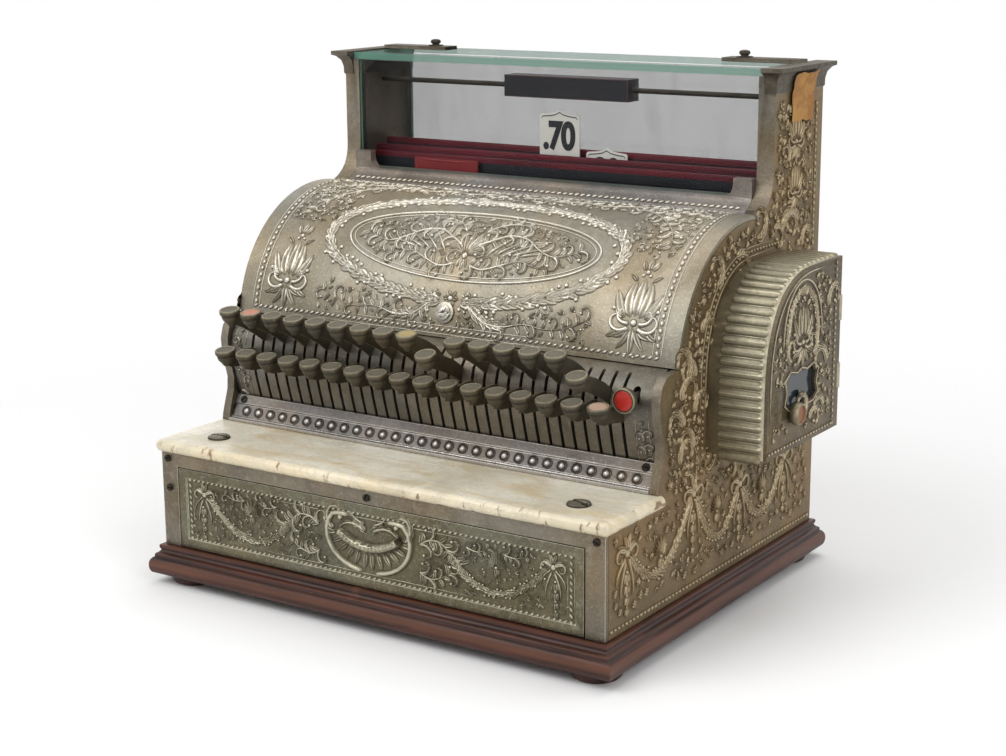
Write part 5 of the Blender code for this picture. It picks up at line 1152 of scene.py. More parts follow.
def carveLid():
    work = newCarving(onLid)
    rng = random.Random(11)
    cu, cv, a, b = lidCarving["oval"]
    drawStroke(work, ovalPath(cu, cv, a, b, turns(0, 360, 96))[:-1], "line", 0.0012, 0.0015, closed=True)
    drawStroke(work, ovalPath(cu, cv, a * 0.965, b * 0.89, turns(0, 360, 96))[:-1], "line", 0.0006, 0.0008,
               closed=True)
    wu, wv, wa, wb = lidCarving["wreath"]
    for start, end in ((-86, 88), (-94, -268)):
        garland(work, ovalPath(wu, wv, wa, wb, turns(start, end, 60)), lidCarving["leaf"], rng, 0.9)
    stamp(work, "palm", (cu, cv - 0.012), 0, 0.03, height=0.0024)
    stamp(work, "husk", (cu, cv - 0.016), 0, 0.013, height=0.002)
    stamp(work, "rosette", (wu, 0.0345), 0, 0.014, height=0.0024)
    for flip in (-1, 1):
        for k, (row, size) in enumerate(lidVines):
            vine(work, [(cu + flip * u, cv + v) for u, v in row], size, 40 + k, 0.002)
        for k, (row, size) in enumerate(cornerVines):
            vine(work, [(wu + flip * u, v) for u, v in row], size, 50 + k, 0.0018)
        row, size = lowBranches
        branch = [(wu + flip * u, v) for u, v in row]
        vine(work, branch, size, 60, 0.0019)
        garland(work, branch[:3], 0.012, rng, 0.3)
        stamp(work, "rosette", (wu + flip * 0.017, 0.0355), 20, 0.011, height=0.0021)
        stamp(work, "rosette", (wu + flip * 0.148, 0.108), 10, 0.013, height=0.0022)
        for k in range(5):
            heading = 54 - 9 * k
            ray = bentPath(cu + flip * (0.02 + 0.008 * k), cv - 0.014 + 0.001 * k,
                           heading if flip > 0 else 180 - heading, 0.044 - 0.002 * k, -flip * 14)
            drawStroke(work, ray, "stem", 0.0013, 0.0021)
        stamp(work, "lily", (flip * lidCarving["lily"][0] + wu, lidCarving["lily"][1]), 0,
              lidCarving["lily"][2], flip, 0.0023)

    def inOval(u, v):
        return ((u - cu) / (a * 0.9)) ** 2 + ((v - cv) / (b * 0.8)) ** 2 < 1

    def upperField(u, v):
        inside = 0.098 < v < 0.184 and abs(u) < 0.203 and (v > 0.158 or abs(u) > 0.15)
        return inside and ((u - wu) / (wa + 0.011)) ** 2 + ((v - wv) / (wb + 0.009)) ** 2 > 1

    def lowerField(u, v):
        inside = 0.013 < v < 0.036 and 0.014 < abs(u) < 0.14
        return inside and ((u - wu) / (wa + 0.009)) ** 2 + ((v - wv) / (wb + 0.009)) ** 2 > 1

    fillWith(work, inOval, (cu - a, cv - b), (cu + a, cv + b), 0.0043, ("comma", "leaf", "leaf", "curl"), 0.006,
             21, 9000, 0.0015)
    fillWith(work, upperField, (-0.203, 0.098), (0.203, 0.184), 0.0048, ("comma", "sprig", "leaf", "curl"),
             0.007, 5, 12000, 0.0015)
    fillWith(work, lowerField, (-0.14, 0.013), (0.14, 0.036), 0.0048, ("comma", "leaf"), 0.0062, 6, 3000)
    side, low, high = lidCarving["borderSide"], lidCarving["borderLow"], lidCarving["borderHigh"]
    frameLine = lineOn(onLid, straight((-side, low), (side, low), 3))
    sideLines = [lineOn(onLid, straight((x, low + 0.004), (x, high), 40)) for x in (-side, side)]
    topLine = lineOn(onLid, straight((-side, high + 0.0005), (side, high + 0.0005), 3))
    for x in (-side - 0.004, side + 0.004, -side + 0.004, side - 0.004):
        drawStroke(work, straight((x, low - 0.003), (x, high + 0.003), 44), *thinLine)
    for v in (low - 0.0035, low + 0.0035, high - 0.0033, high + 0.0042):
        drawStroke(work, straight((-side, v), (side, v), 4), *thinLine)
    rows = [rowMesh("lidRopeLow", [frameLine, topLine], pearl, "nickel", lidCarving["spacing"],
                    (0.0031, 0.0014, 0.0014), 0.55, 0.06, 3),
            rowMesh("lidRopeSides", sideLines, pearl, "nickel", lidCarving["spacing"],
                    (0.0028, 0.0019, 0.0015), 0.0, 0.06, 4)]
    carvedPiece("lid", "lidCarving", work, rows, "nickel")
    return work


def makeLidShell(work):
    # a barrel shell with its lock hole and hinge cuts, with grime and painted shade close to the ornament
    bm = newShape()
    columns, rows = lidShell["columns"], lidShell["rows"]
    half, arc = lidShell["half"] - 0.0001, lidForm["arc"] - 0.0004
    lockU, lockV, lockR = lidShell["lock"]
    hingeAt, hingeHalf, hingeCut = lidShell["hinges"]
    flatPlace = [[(-half + 2 * half * i / columns, 0.0001 + arc * j / rows) for j in range(rows + 1)]
                 for i in range(columns + 1)]
    skins = [[[bm.verts.new(onLid(u, v, lift)) for u, v in column] for column in flatPlace]
             for lift in (0, -lidShell["thickness"])]

    def isOpen(i, j):
        if not (0 <= i < columns and 0 <= j < rows):
            return True
        u = (flatPlace[i][j][0] + flatPlace[i + 1][j][0]) / 2
        v = (flatPlace[i][j][1] + flatPlace[i][j + 1][1]) / 2
        return (math.hypot(u - lockU, v - lockV) < lockR
                or (abs(abs(u) - hingeAt) < hingeHalf and v > lidForm["arc"] - hingeCut))

    top, low = skins
    for i in range(columns):
        for j in range(rows):
            if isOpen(i, j):
                continue
            corners = ((i, j), (i + 1, j), (i + 1, j + 1), (i, j + 1))
            bm.faces.new([top[a][b] for a, b in corners])
            bm.faces.new([low[a][b] for a, b in corners[::-1]])
            for step, (a, b) in (((0, -1), (0, 1)), ((1, 0), (1, 2)), ((0, 1), (2, 3)), ((-1, 0), (3, 0))):
                if isOpen(i + step[0], j + step[1]):
                    (ia, ja), (ib, jb) = corners[a], corners[b]
                    bm.faces.new((top[ib][jb], top[ia][ja], low[ia][ja], low[ib][jb]))
    spots = [(top[i][j], flatPlace[i][j]) for i in range(columns + 1) for j in range(rows + 1)]
    grimeAndShadeNearOrnament(bm, spots, work, lidShell["grimeAndShadeReach"], lidShell["grimeAndShade"])
    crest = bm.verts.layers.float["crest"]
    for column in low:
        for vert in column:
            vert[crest] = lidShell["innerCrest"]
    bmesh.ops.delete(bm, geom=[v for v in bm.verts if not v.link_faces], context="VERTS")
    mesh = meshOf("lidShell", bm, ["nickel"], 40)
    pieceFor("lid", "lidShell", mesh, True)


makeLidShell(carveLid())
print("lid carved")

# side ornament

sideCarving = {
    "field": [(0.01, 0.051), (0.368, 0.051), (0.368, 0.285), (0.356, 0.3), (0.354, 0.43), (0.288, 0.43),
              (0.287, 0.352), (0.272, 0.336)],
    "strip": [(0.112, 0.226), (0.097, 0.2), (0.095, 0.18), (0.103, 0.16), (0.1, 0.142), (0.09, 0.128),
              (0.084, 0.117), (0.01, 0.117)],
    "arcInset": 0.0105, "ropeLow": 0.0425, "ropeRear": 0.3625,
    "knots": ((0.0324, 0.1005), (0.1419, 0.1213), (0.227, 0.1083), (0.315, 0.1117)),
    "sags": (0.036, 0.038, 0.034),
    "palms": ((0.087, 0.088, 0.03), (0.1845, 0.1, 0.026), (0.271, 0.096, 0.028)),  # (u, v) and size
    "lilies": ((0.3215, 0.3977, 0.042), (0.3215, 0.3526, 0.038)),
    "ring": (0.235, 0.222, 0.066, 0.07), "wreath": (0.235, 0.222, 0.0784, 0.0822),  # centre and radii
}


def sideField():
    cy, cz = lidForm["centre"]
    r = lidForm["radius"] - sideCarving["arcInset"]
    return sideCarving["field"] + ovalPath(cy, cz, r, r, range(74, 171, 6)) + sideCarving["strip"]


def swag(start, end, sag, count=16):
    return [(start[0] + (end[0] - start[0]) * i / count,
             start[1] + (end[1] - start[1]) * i / count - sag * 4 * (i / count) * (1 - i / count))
            for i in range(count + 1)]


def carveSide(nodeName, pieceName, surface, finishName, withPrinter, seed):
    work = newCarving(surface)
    rng = random.Random(seed)
    field = sideField()
    knots = sideCarving["knots"]
    for (start, end), sag in zip(zip(knots, knots[1:]), sideCarving["sags"]):
        garland(work, swag((start[0] + 0.006, start[1] - 0.004), (end[0] - 0.006, end[1] - 0.004), sag),
                0.0098, rng, 1.0)
    for u, v in knots:
        stamp(work, "bow", (u, v), 0, 0.03, 1, 0.0023)
        for step in range(4):
            stamp(work, "husk", (u, v - 0.016 - 0.0098 * step), 0, 0.0125 - 0.0013 * step, 1)
        drawBead(work, u, v - 0.058, 0.0016, 0.0018)
    for u, v, size in sideCarving["palms"]:
        stamp(work, "palm", (u, v - 0.004), 0, size * 0.62, 1, 0.0021)
        stamp(work, "husk", (u, v - 0.006), 0, size * 0.42, 1, 0.002)
    for u, v, size in sideCarving["lilies"]:
        stamp(work, "lily", (u, v), 0, size, 1, 0.0023)
    for u, v, heading, length, flip in sideScrolls if withPrinter else sideScrolls[:9]:
        leafScroll(work, (u, v), heading, length, flip, 0.0017, 0.002)
    extras = []
    if withPrinter:
        outer = printerLine(0.0085)
        rim = [(u, v) for u, v in outer if u < 0.3] + [(0.302, outer[-1][1])]
        extras.append(rowMesh("printerRim", [lineOn(surface, rim)], pearl, finishName, 0.0056,
                              (0.0022, 0.0019, 0.0015), 0.0, 0.08, seed))
        for outset in (0.0045, 0.0125):
            drawStroke(work, printerLine(outset), "line", 0.0007, 0.001)
    else:
        ring = ovalPath(*sideCarving["ring"], turns(0, 360, 60))[:-1]
        drawStroke(work, ring, "line", 0.0014, 0.0016, closed=True)
        for start, end in ((-90, 90), (-90, -270)):
            garland(work, ovalPath(*sideCarving["wreath"], turns(start, end, 40)), 0.0105, rng, 0.9)
        stamp(work, "lily", (0.235, 0.214), 0, 0.085, 1, 0.0025)
    box = printerLine(0.0155)
    boxOutline = box + [(0.4, box[-1][1]), (0.4, 0.146), (box[0][0], 0.146)]

    def inside(u, v):
        if v < 0.132 and not (v > 0.12 and 0.16 < u < 0.21) or not within((u, v), field):
            return False
        if withPrinter:
            return not (within((u, v), boxOutline) and u < 0.312)
        return ((u - 0.235) / 0.091) ** 2 + ((v - 0.222) / 0.095) ** 2 > 1

    def lowField(u, v):
        return 0.014 < u < 0.362 and 0.054 < v < 0.118 and within((u, v), field)

    fillWith(work, inside, (0.008, 0.048), (0.37, 0.435), 0.005, ("comma", "sprig", "curl", "leaf"), 0.0074,
             seed + 1, 16000, 0.0016)
    fillWith(work, lowField, (0.008, 0.048), (0.37, 0.12), 0.0082, ("comma", "sprig", "curl", "rosette"),
             0.0064, seed + 2, 2200, 0.0013)
    low, rear = sideCarving["ropeLow"], sideCarving["ropeRear"]
    extras.append(rowMesh("sideRope", [lineOn(surface, straight((0.009, low), (0.368, low))),
                                       lineOn(surface, straight((rear, 0.3), (rear, 0.424)))],
                          pearl, finishName, 0.0058, (0.0029, 0.0018, 0.0015), 0.0, 0.1, seed))
    for v in (low - 0.0036, low + 0.0036):
        drawStroke(work, straight((0.006, v), (0.372, v)), *thinLine)
    for u in (rear - 0.0042, rear + 0.0042):
        drawStroke(work, straight((u, 0.296), (u, 0.428), 3), *thinLine)
    carvedPiece(nodeName, pieceName, work, extras, finishName)
    return work


sideScrolls = (
    (0.33, 0.322, 120, 0.06, 1), (0.3, 0.322, 60, 0.052, -1), (0.118, 0.205, 80, 0.05, -1),
    (0.122, 0.182, 100, 0.046, 1), (0.118, 0.152, 95, 0.046, -1), (0.128, 0.222, 60, 0.05, 1),
    (0.34, 0.3, 100, 0.04, -1), (0.126, 0.14, 10, 0.04, -1), (0.306, 0.378, 60, 0.03, 1),
    (0.138, 0.16, 80, 0.044, 1), (0.142, 0.19, 90, 0.044, -1), (0.14, 0.22, 90, 0.044, 1),
    (0.15, 0.256, 50, 0.05, -1), (0.178, 0.288, 40, 0.05, 1), (0.212, 0.308, 20, 0.052, -1),
    (0.25, 0.318, 10, 0.05, 1), (0.282, 0.322, 20, 0.04, -1), (0.33, 0.15, 90, 0.05, 1),
    (0.34, 0.2, 90, 0.05, -1), (0.336, 0.25, 90, 0.05, 1), (0.164, 0.136, 0, 0.044, 1),
    (0.2, 0.138, 10, 0.044, -1), (0.24, 0.138, 0, 0.044, 1), (0.28, 0.138, 10, 0.044, -1),
)
tower = {"capital": 0.4374, "inner": 0.34, "crest": 0.22, "grid": 0.0035, "grimeAndShadeReach": 0.005, "grimeAndShade": 0.26}


def dressSide(nodeName, pieceName, side, outerFinish, work):
    # its coarse relief made flat, then a fine grid that carries the grime and painted shade round the carving
    limit = cabinet["halfWidth"]

    def flatten(bm):
        for vert in bm.verts:
            x = vert.co.x - home.x
            if abs(x) > limit + 0.00001 and vert.co.z < tower["capital"]:
                vert.co.x = home.x + math.copysign(limit, x)

    def finishOf(spot, normal):
        x = abs(spot.x - home.x)
        if abs(normal.x) > 0.9 and abs(x - limit) < 0.0002:
            return 0
        return 2 if spot.z > tower["inner"] and normal.x * side < -0.7 and x < limit else 1

    bm = dressNode(nodeName, flatten=flatten)
    sortFaces(bm, finishOf)
    crest = bm.verts.layers.float["crest"]
    for vert in bm.verts:
        if vert.co.z > tower["capital"] - 0.001:
            vert[crest] = tower["crest"]
    gridFaces(bm, [f for f in bm.faces if f.material_index == 0], ((1, tower["grid"]), (2, tower["grid"])))
    verts = {v for f in bm.faces if f.material_index == 0 for v in f.verts}
    grimeAndShadeNearOrnament(bm, [(v, (v.co.y - home.y, v.co.z)) for v in verts], work,
                tower["grimeAndShadeReach"], tower["grimeAndShade"])
    finishNode(bm, nodeName, pieceName, [outerFinish, "frame", "darkIron"])


dressSide("right_side", "rightSideCasting", 1, "olive",
          carveSide("right_side", "rightSideCarving", onRightSide, "olive", True, 31))
dressSide("left_side", "leftSideCasting", -1, "nickel",
          carveSide("left_side", "leftSideCarving", onLeftSide, "nickel", False, 57))
print("sides carved")

# drawer ornament

drawerCarving = {
    "swag": ((0.176, 0.087), (0.084, 0.079), 0.026), "bow": (0.182, 0.089), "drop": (0.184, 0.077),
    "palm": (0.128, 0.0795), "lift": 0.0018, "pull": (0.034, 0.085, 0.0125),  # half width, height and sag
}
drawerVines = (
    (((0.052, 0.084), (0.062, 0.09), (0.074, 0.09), (0.084, 0.082), (0.094, 0.076)), 0.017),
    (((0.052, 0.062), (0.062, 0.057), (0.074, 0.06), (0.084, 0.066)), 0.015),
    (((0.098, 0.092), (0.11, 0.089), (0.122, 0.094)), 0.011),
    (((0.134, 0.092), (0.146, 0.09), (0.158, 0.094)), 0.011),
)


def carveDrawer():
    work = newCarving(onDrawer)
    rng = random.Random(4)
    high = drawerCarving["lift"]
    pullHalf, pullTop, pullSag = drawerCarving["pull"]
    def mirror(name):
        return flip * drawerCarving[name][0], drawerCarving[name][1]

    for flip in (-1, 1):
        garland(work, [(flip * u, v) for u, v in swag(*drawerCarving["swag"])], 0.0076, rng, 1.0)
        stamp(work, "bow", mirror("bow"), 0, 0.021, flip, high)
        for step in range(4):
            u, v = mirror("drop")
            stamp(work, "husk", (u, v - 0.0082 * step), 0, 0.01 - 0.001 * step)
        stamp(work, "palm", mirror("palm"), 0, 0.016, flip, high)
        stamp(work, "husk", (flip * 0.128, 0.0785), 0, 0.009, flip, high)
        for k, (row, size) in enumerate(drawerVines):
            vine(work, [(flip * u, v) for u, v in row], size, 71 + k, high)
        # the cartouche's bold C scrolls, and the shell's flutes under the pull
        bold = bentPath(0.003, 0.0512, 2, 0.096, 62, 150)
        drawStroke(work, [(flip * u, min(v, 0.0985)) for u, v in bold], "line", 0.0026, 0.0032)
        leafScroll(work, (flip * 0.037, 0.083), 40 if flip > 0 else 140, 0.04, flip, 0.0022, 0.0026, 240)
        leafScroll(work, (flip * 0.003, 0.0862), 34 if flip > 0 else 146, 0.036, -flip, 0.0019, 0.0022, 110,
                   False)
        leafScroll(work, (flip * 0.004, 0.093), 10 if flip > 0 else 170, 0.026, flip, 0.0015, 0.002, 90,
                   False)
        for i in range(6):
            heading = -86 + 15 * i
            drawStroke(work, bentPath(flip * (0.003 + 0.0062 * i), 0.069 + 0.0005 * i * i,
                                                heading if flip > 0 else 180 - heading, 0.017 - 0.001 * i), "leaf",
                       0.0026, 0.0022)
    pull = [(u, pullTop - pullSag * (1 - (u / pullHalf) ** 2)) for u in turns(-pullHalf, pullHalf, 16)]
    drawStroke(work, pull, "line", 0.0045, 0.005)
    garland(work, [(u, v + 0.0005) for u, v in pull[1:-1]], 0.0078, rng, 0.3, 30, 0.0056)

    def inside(u, v):
        return 0.054 < abs(u) < 0.196 and 0.052 < v < 0.097

    fillWith(work, inside, (-0.196, 0.051), (0.196, 0.098), 0.0062, ("comma", "leaf", "curl"), 0.0052, 12,
             4000, 0.0012)
    half, low, top = drawerLook["halfField"] - 0.004, drawerLook["low"] + 0.0007, drawerLook["high"] - 0.0007
    lines = [lineOn(onDrawer, straight(a, b)) for a, b in loopOf(rectangle(half, low, top))]
    for inset in (0.0032, -0.0032):
        for a, b in loopOf(rectangle(half + inset, low - inset, top + inset)):
            drawStroke(work, straight(a, b, 4), "line", 0.0004, 0.0006)
    rows = [rowMesh("drawerRope", lines, pearl, "greenish", drawerLook["spacing"], (0.0027, 0.0014, 0.0012), 0.6,
                    0.08, 8)]
    carvedPiece("drawer_front", "drawerCarving", work, rows, "greenish")
    return work


def dressDrawer(work):
    field = drawerLook["fieldDepth"]

    def flatten(bm):
        for vert in bm.verts:
            x, y, z = vert.co - home
            if abs(x) < 0.2028 and 0.0458 < z < 0.1013 and y < field:
                vert.co.y = home.y + field
            if x > drawerLook["edge"]:  # the worn drawer hangs a little short on the right and at the top
                vert.co.x -= drawerLook["short"]
            if z > drawerLook["top"]:
                vert.co.z -= drawerLook["short"] / 2

    bm = dressNode("drawer_front", 0.0004, flatten)
    faces = []
    for face in bm.faces:
        face.normal_update()
        deep = face.calc_center_median().y - home.y
        if face.normal.y < -0.9 and abs(deep - field) < 0.0001 and face.calc_area() > 0.001:
            faces.append(face)
    faces = gridFaces(bm, faces, ((0, drawerLook["grid"]), (2, drawerLook["grid"])))
    verts = {v for f in faces if f.is_valid for v in f.verts}
    # grime and painted shade on the drawer's field near its carving
    grimeAndShadeNearOrnament(bm, [(v, (v.co.x - home.x, v.co.z)) for v in verts], work,
                drawerLook["grimeAndShadeReach"], drawerLook["grimeAndShade"])
    finishNode(bm, "drawer_front", "drawerFront", ["greenish"])


dressDrawer(carveDrawer())
print("drawer carved")

# printer box: ribs, carved door, dark pane and knob

ribLook = {"count": 28, "width": 0.0042, "proud": 0.0021, "start": 0.2395, "end": 0.2795,
           "ends": ((0, 0.0), (0.0004, 0.55), (0.0014, 0.85), (0.0032, 1.0))}


def makeRibs():
    length = (ribLook["end"] - ribLook["start"]) / 2
    bm = newShape()
    crest = bm.verts.layers.float["crest"]
    rings = []
    stations = [(-length + back, share) for back, share in ribLook["ends"]] + [(0.0, 1.0)]
    stations += [(-y, share) for y, share in stations[-2::-1]]
    for y, share in stations:
        turns = [math.pi * k / 7 for k in range(8 if share else 1)]
        # crests: low at the ribs' feet for grime and painted shade, high along their tops for rubbed metal and a
        # painted highlight
        rings.append(addRing(bm, [(ribLook["width"] * share * math.cos(b), y,
                                   ribLook["proud"] * share * math.sin(b) - (0.0004 if share else 0))
                                  for b in turns], [0.3 + 0.48 * math.sin(b) for b in turns]))
    skinRings(bm, rings)
    shape = template("ribShape", bm, "ribbed")
    middle = (ribLook["start"] + ribLook["end"]) / 2
    outline = printerLine(0)
    line = []
    for i, (y, z) in enumerate(outline):
        ay, az = outline[max(0, i - 1)]
        by, bz = outline[min(len(outline) - 1, i + 1)]
        outward = Vector((0, -(bz - az), by - ay)).normalized()
        line.append((at(middle, y, z), outward))
    total = sum(math.dist(a, b) for a, b in zip(outline, outline[1:]))
    mesh = rowMesh("printerRibs", [line], shape, "ribbed", total / (ribLook["count"] + 1))
    bpy.data.objects.remove(shape)
    pieceFor("printer_cover", "printerRibs", mesh)


makeRibs()


doorCarving = {
    "arch": (0.227, 0.245, 0.037, 0.0475), "garland": (0.227, 0.245, 0.029, 0.0395), "lily": (0.227, 0.244),
    "scrolls": ((0.206, 0.226, 150, 0.034, -1), (0.248, 0.226, 30, 0.034, 1), (0.276, 0.214, 100, 0.046, 1),
                (0.278, 0.262, 95, 0.044, -1), (0.272, 0.176, 110, 0.036, 1), (0.226, 0.172, 20, 0.044, 1),
                (0.244, 0.17, 60, 0.036, -1)),
    "window": (0.198, 0.187, 0.059, 0.029),  # its corner's depth and height, then its size
    "windowShape": ((0.1, -0.06), (0.5, -0.07), (0.9, -0.06), (1.05, 0.14), (0.99, 0.5), (1.05, 0.86),
                    (0.88, 1.08), (0.66, 0.98), (0.5, 1.08), (0.34, 0.98), (0.12, 1.08), (-0.05, 0.86),
                    (0.01, 0.5), (-0.05, 0.14)),
}


def carveDoor():
    work = newCarving(onDoor)
    rng = random.Random(19)
    arch = [(0.19, 0.232)] + ovalPath(*doorCarving["arch"], turns(180, 0, 26)) + [(0.264, 0.232)]
    drawStroke(work, arch, "line", 0.0011, 0.0016)
    for start, end in ((200, 92), (-20, 88)):
        garland(work, ovalPath(*doorCarving["garland"], turns(start, end, 16)), 0.0078, rng, 0.8)
    stamp(work, "lily", doorCarving["lily"], 0, 0.05, 1, 0.0022)
    for u, v, heading, length, flip in doorCarving["scrolls"]:
        leafScroll(work, (u, v), heading, length, flip, 0.0016, 0.0018)
    edge = printerLine(-0.01)
    outline = [(u, v) for u, v in edge if v > 0.166] + [(0.284, 0.291), (0.284, 0.168), (0.173, 0.168)]

    def inside(u, v):
        window = 0.192 < u < 0.262 and 0.182 < v < 0.221
        knob = math.hypot(u - 0.21, v - 0.182) < 0.017
        boss = math.hypot(u - 0.18, v - 0.193) < 0.017
        return within((u, v), outline) and not window and not knob and not boss

    fillWith(work, inside, (0.165, 0.16), (0.29, 0.3), 0.0058, ("comma", "sprig", "curl"), 0.0064, 77, 4200,
             0.0015)
    lines = [lineOn(onDoor, straight((0.2925, 0.156), (0.2925, 0.297))),
             lineOn(onDoor, straight((0.168, 0.156), (0.289, 0.156)))]
    rows = [rowMesh("doorRope", lines, pearl, "door", 0.0056, (0.0024, 0.0015, 0.0013), 0.0, 0.08, 9)]
    drawStroke(work, printerLine(-0.0035), "line", 0.0009, 0.001)
    near, foot, wide, tall = doorCarving["window"]
    window = [(near + wide * along, foot + tall * up) for along, up in doorCarving["windowShape"]]
    drawStroke(work, window, "line", 0.0009, 0.0014, closed=True)
    carvedPiece("printer_door", "doorCarving", work, rows, "door")


carveDoor()

paneWork = bmesh.new()
bmesh.ops.create_cube(paneWork, size=1)
bmesh.ops.scale(paneWork, vec=(0.0008, 0.066, 0.036), verts=paneWork.verts)
bmesh.ops.translate(paneWork, vec=at(0.2813, 0.2275, 0.2015), verts=paneWork.verts)
pieceFor("printer_door", "ticketPane", meshOf("ticketPane", paneWork, ["darkGlass"]))

knobLook = {"place": (0.2853, 0.212, 0.182), "radius": 0.01, "proud": 0.0087}


def makeKnob():
    r, proud = knobLook["radius"], knobLook["proud"]
    profile = [(0.0, -0.01), (0.0039, -0.01), (0.0039, 0.0), (r * 0.72, 0.0), (r * 0.8, 0.0006), (r * 0.97, 0.003),
               (r, 0.0042), (r * 0.99, 0.0056), (r * 0.9, 0.0076), (r * 0.82, proud), (r * 0.74, proud),
               (r * 0.7, proud - 0.0012), (r * 0.4, proud - 0.0016), (0.0, proud - 0.0018)]
    # crests: darker in its grooves for grime and painted shade, brighter on its rims for rubbed metal and a
    # painted highlight
    crests = [0.3, 0.3, 0.2, 0.2, 0.3, 0.5, 0.55, 0.55, 0.7, 0.7, 0.4, 0.3, 0.3, 0.3]
    centre = at(*knobLook["place"])
    bm = turnedShape(profile, 36, (1, 0, 0), centre, crests)

    def onFace(spot, normal):
        spot = spot - centre
        return int(spot.x > 0.0065 and math.hypot(spot.y, spot.z) < r * 0.72)

    sortFaces(bm, onFace)
    cam = bmesh.ops.create_cube(bm, size=1)["verts"]
    bmesh.ops.scale(bm, vec=(0.002, 0.008, 0.0135), verts=cam)
    bmesh.ops.translate(bm, vec=centre + Vector((-0.01, 0, 0.00675)), verts=cam)
    mesh = meshOf("printerKnob", bm, ["ribbed", "copperFace"], 40)
    pieceFor("printer_lock", "printerKnob", mesh, True)


makeKnob()
print("printer box made")

# keys: a bent flat lever with a dished cap

keyLook = {
    "easing": 0.0003, "discReach": 0.78,
    "pivot": (0.1720029, 0.166), "blade": 0.0022, "hub": 0.0085, "hubTop": (118, 96, 74, 50, 28),
    "hubFoot": (-70, -92, -112, -132), "bore": 0.00415, "tail": (0.05, 0.008, 0.012),
    "capRadius": 0.00925, "capTilt": math.radians(10), "first": -0.1957, "pitch": 0.0121303,
    "press": math.radians(5.6),
    "lower": (0.121, 0.0443),  # how far the cap stands ahead of and above the pivot
    "upper": (0.1265, 0.0833),
}
keyLines = {
    "lower": (((1.02, 0.84), (0.96, 0.85), (0.9, 0.865), (0.82, 0.89), (0.74, 0.895), (0.65, 0.86),
               (0.56, 0.79),
               (0.42, 0.65), (0.26, 0.46), (0.12, 0.3)),
              ((0.12, -0.06), (0.34, 0.16), (0.56, 0.4), (0.67, 0.5), (0.78, 0.555), (0.86, 0.58), (0.94, 0.6),
               (1.03, 0.7))),
    "upper": (((1.02, 0.93), (0.95, 0.95), (0.88, 0.935), (0.78, 0.87), (0.68, 0.78), (0.6, 0.68),
               (0.53, 0.595),
               (0.45, 0.5), (0.37, 0.415), (0.27, 0.32), (0.17, 0.23)),
              ((0.2, 0.06), (0.4, 0.28), (0.53, 0.43), (0.65, 0.56), (0.74, 0.655), (0.82, 0.725), (0.92, 0.8),
               (1.02, 0.87))),
}
capProfile = ((0.0, -0.00135), (0.4, -0.00125), (0.7, -0.001), (0.8, -0.0003), (0.84, 0.0), (0.95, -0.0001),
              (1.0, -0.0008), (1.0, -0.0034), (0.95, -0.0044), (0.86, -0.0048), (0.85, -0.007),
              (0.78, -0.0092),
              (0.62, -0.0112), (0.45, -0.013), (0.37, -0.015), (0.0, -0.0152))
# cap crests: the rim brightest with rubbed metal and a painted highlight, the underside darkest with grime and
# painted shade
capCrests = (0.35, 0.35, 0.35, 0.8, 0.95, 0.95, 0.75, 0.45, 0.2, 0.1, 0.45, 0.35, 0.3, 0.3, 0.2, 0.1)
discOf = {"key_upper_02": "salmonDisc", "key_upper_09": "ochreDisc", "key_lower_17": "pinkDisc"}


def makeKey(nodeName, x, row, pressed):
    reach, rise = keyLook[row]
    top, foot = keyLines[row]
    outline = [(-reach * a, rise * b) for a, b in top]
    hub = keyLook["hub"]
    length, width, drop = keyLook["tail"]
    outline += ovalPath(0, 0, hub, hub, keyLook["hubTop"])
    outline += [(length, width / 2 - drop), (length, -width / 2 - drop)]
    outline += ovalPath(0, 0, hub, hub, keyLook["hubFoot"])
    outline += [(-reach * a, rise * b) for a, b in foot]
    curve = bpy.data.curves.new(nodeName, "CURVE")
    curve.dimensions = "2D"
    curve.fill_mode = "BOTH"
    curve.extrude = keyLook["blade"] / 2 - keyLook["easing"]
    curve.bevel_depth = keyLook["easing"]
    curve.offset = -keyLook["easing"]
    for line in (outline, circle(keyLook["bore"], 16)):
        spline = curve.splines.new("POLY")
        spline.points.add(len(line) - 1)
        for point, (a, b) in zip(spline.points, line):
            point.co = (a, b, 0, 1)
        spline.use_cyclic_u = True
    blade = plainMesh(newObject(nodeName + "Flat", curve), nodeName + "Blade")
    bm = newShape()
    layer = bm.verts.layers.float["crest"]
    bm.from_mesh(blade)
    bmesh.ops.remove_doubles(bm, verts=bm.verts, dist=0.000005)
    bm.transform(Matrix(((0, 0, 1, 0), (1, 0, 0, 0), (0, 1, 0, 0), (0, 0, 0, 1))))
    for vert in bm.verts:
        # the blade's thin rim gets a higher crest: rubbed metal and a painted highlight
        vert[layer] = 0.45 + 0.25 * (abs(vert.co.x) < keyLook["blade"] / 2 - 0.0002)
    tilt = keyLook["capTilt"]
    seat, upward = Vector((0, -reach, rise)), Vector((0, -math.sin(tilt), math.cos(tilt)))
    cap = turnedShape([(r * keyLook["capRadius"], z) for r, z in capProfile], 30, upward, seat, capCrests)

    def onDisc(spot, normal):
        depth = (spot - seat).dot(upward)
        across = (spot - seat - depth * upward).length
        return int(depth > -0.0016 and across < keyLook["capRadius"] * keyLook["discReach"])

    sortFaces(cap, onDisc)
    bm.from_mesh(meshOf("cap", cap, ["keyBronze", "plainDisc"], 50))
    if pressed:
        bm.transform(Matrix.Rotation(keyLook["press"], 4, "X"))
    bm.transform(Matrix.Translation(at(x, *keyLook["pivot"])))
    piece = nodeName.replace("key_", "").replace("_", "Key")
    mesh = meshOf(piece, bm, ["keyBronze", discOf.get(nodeName, "plainDisc")], 42)
    pieceFor(nodeName, piece, mesh, True)


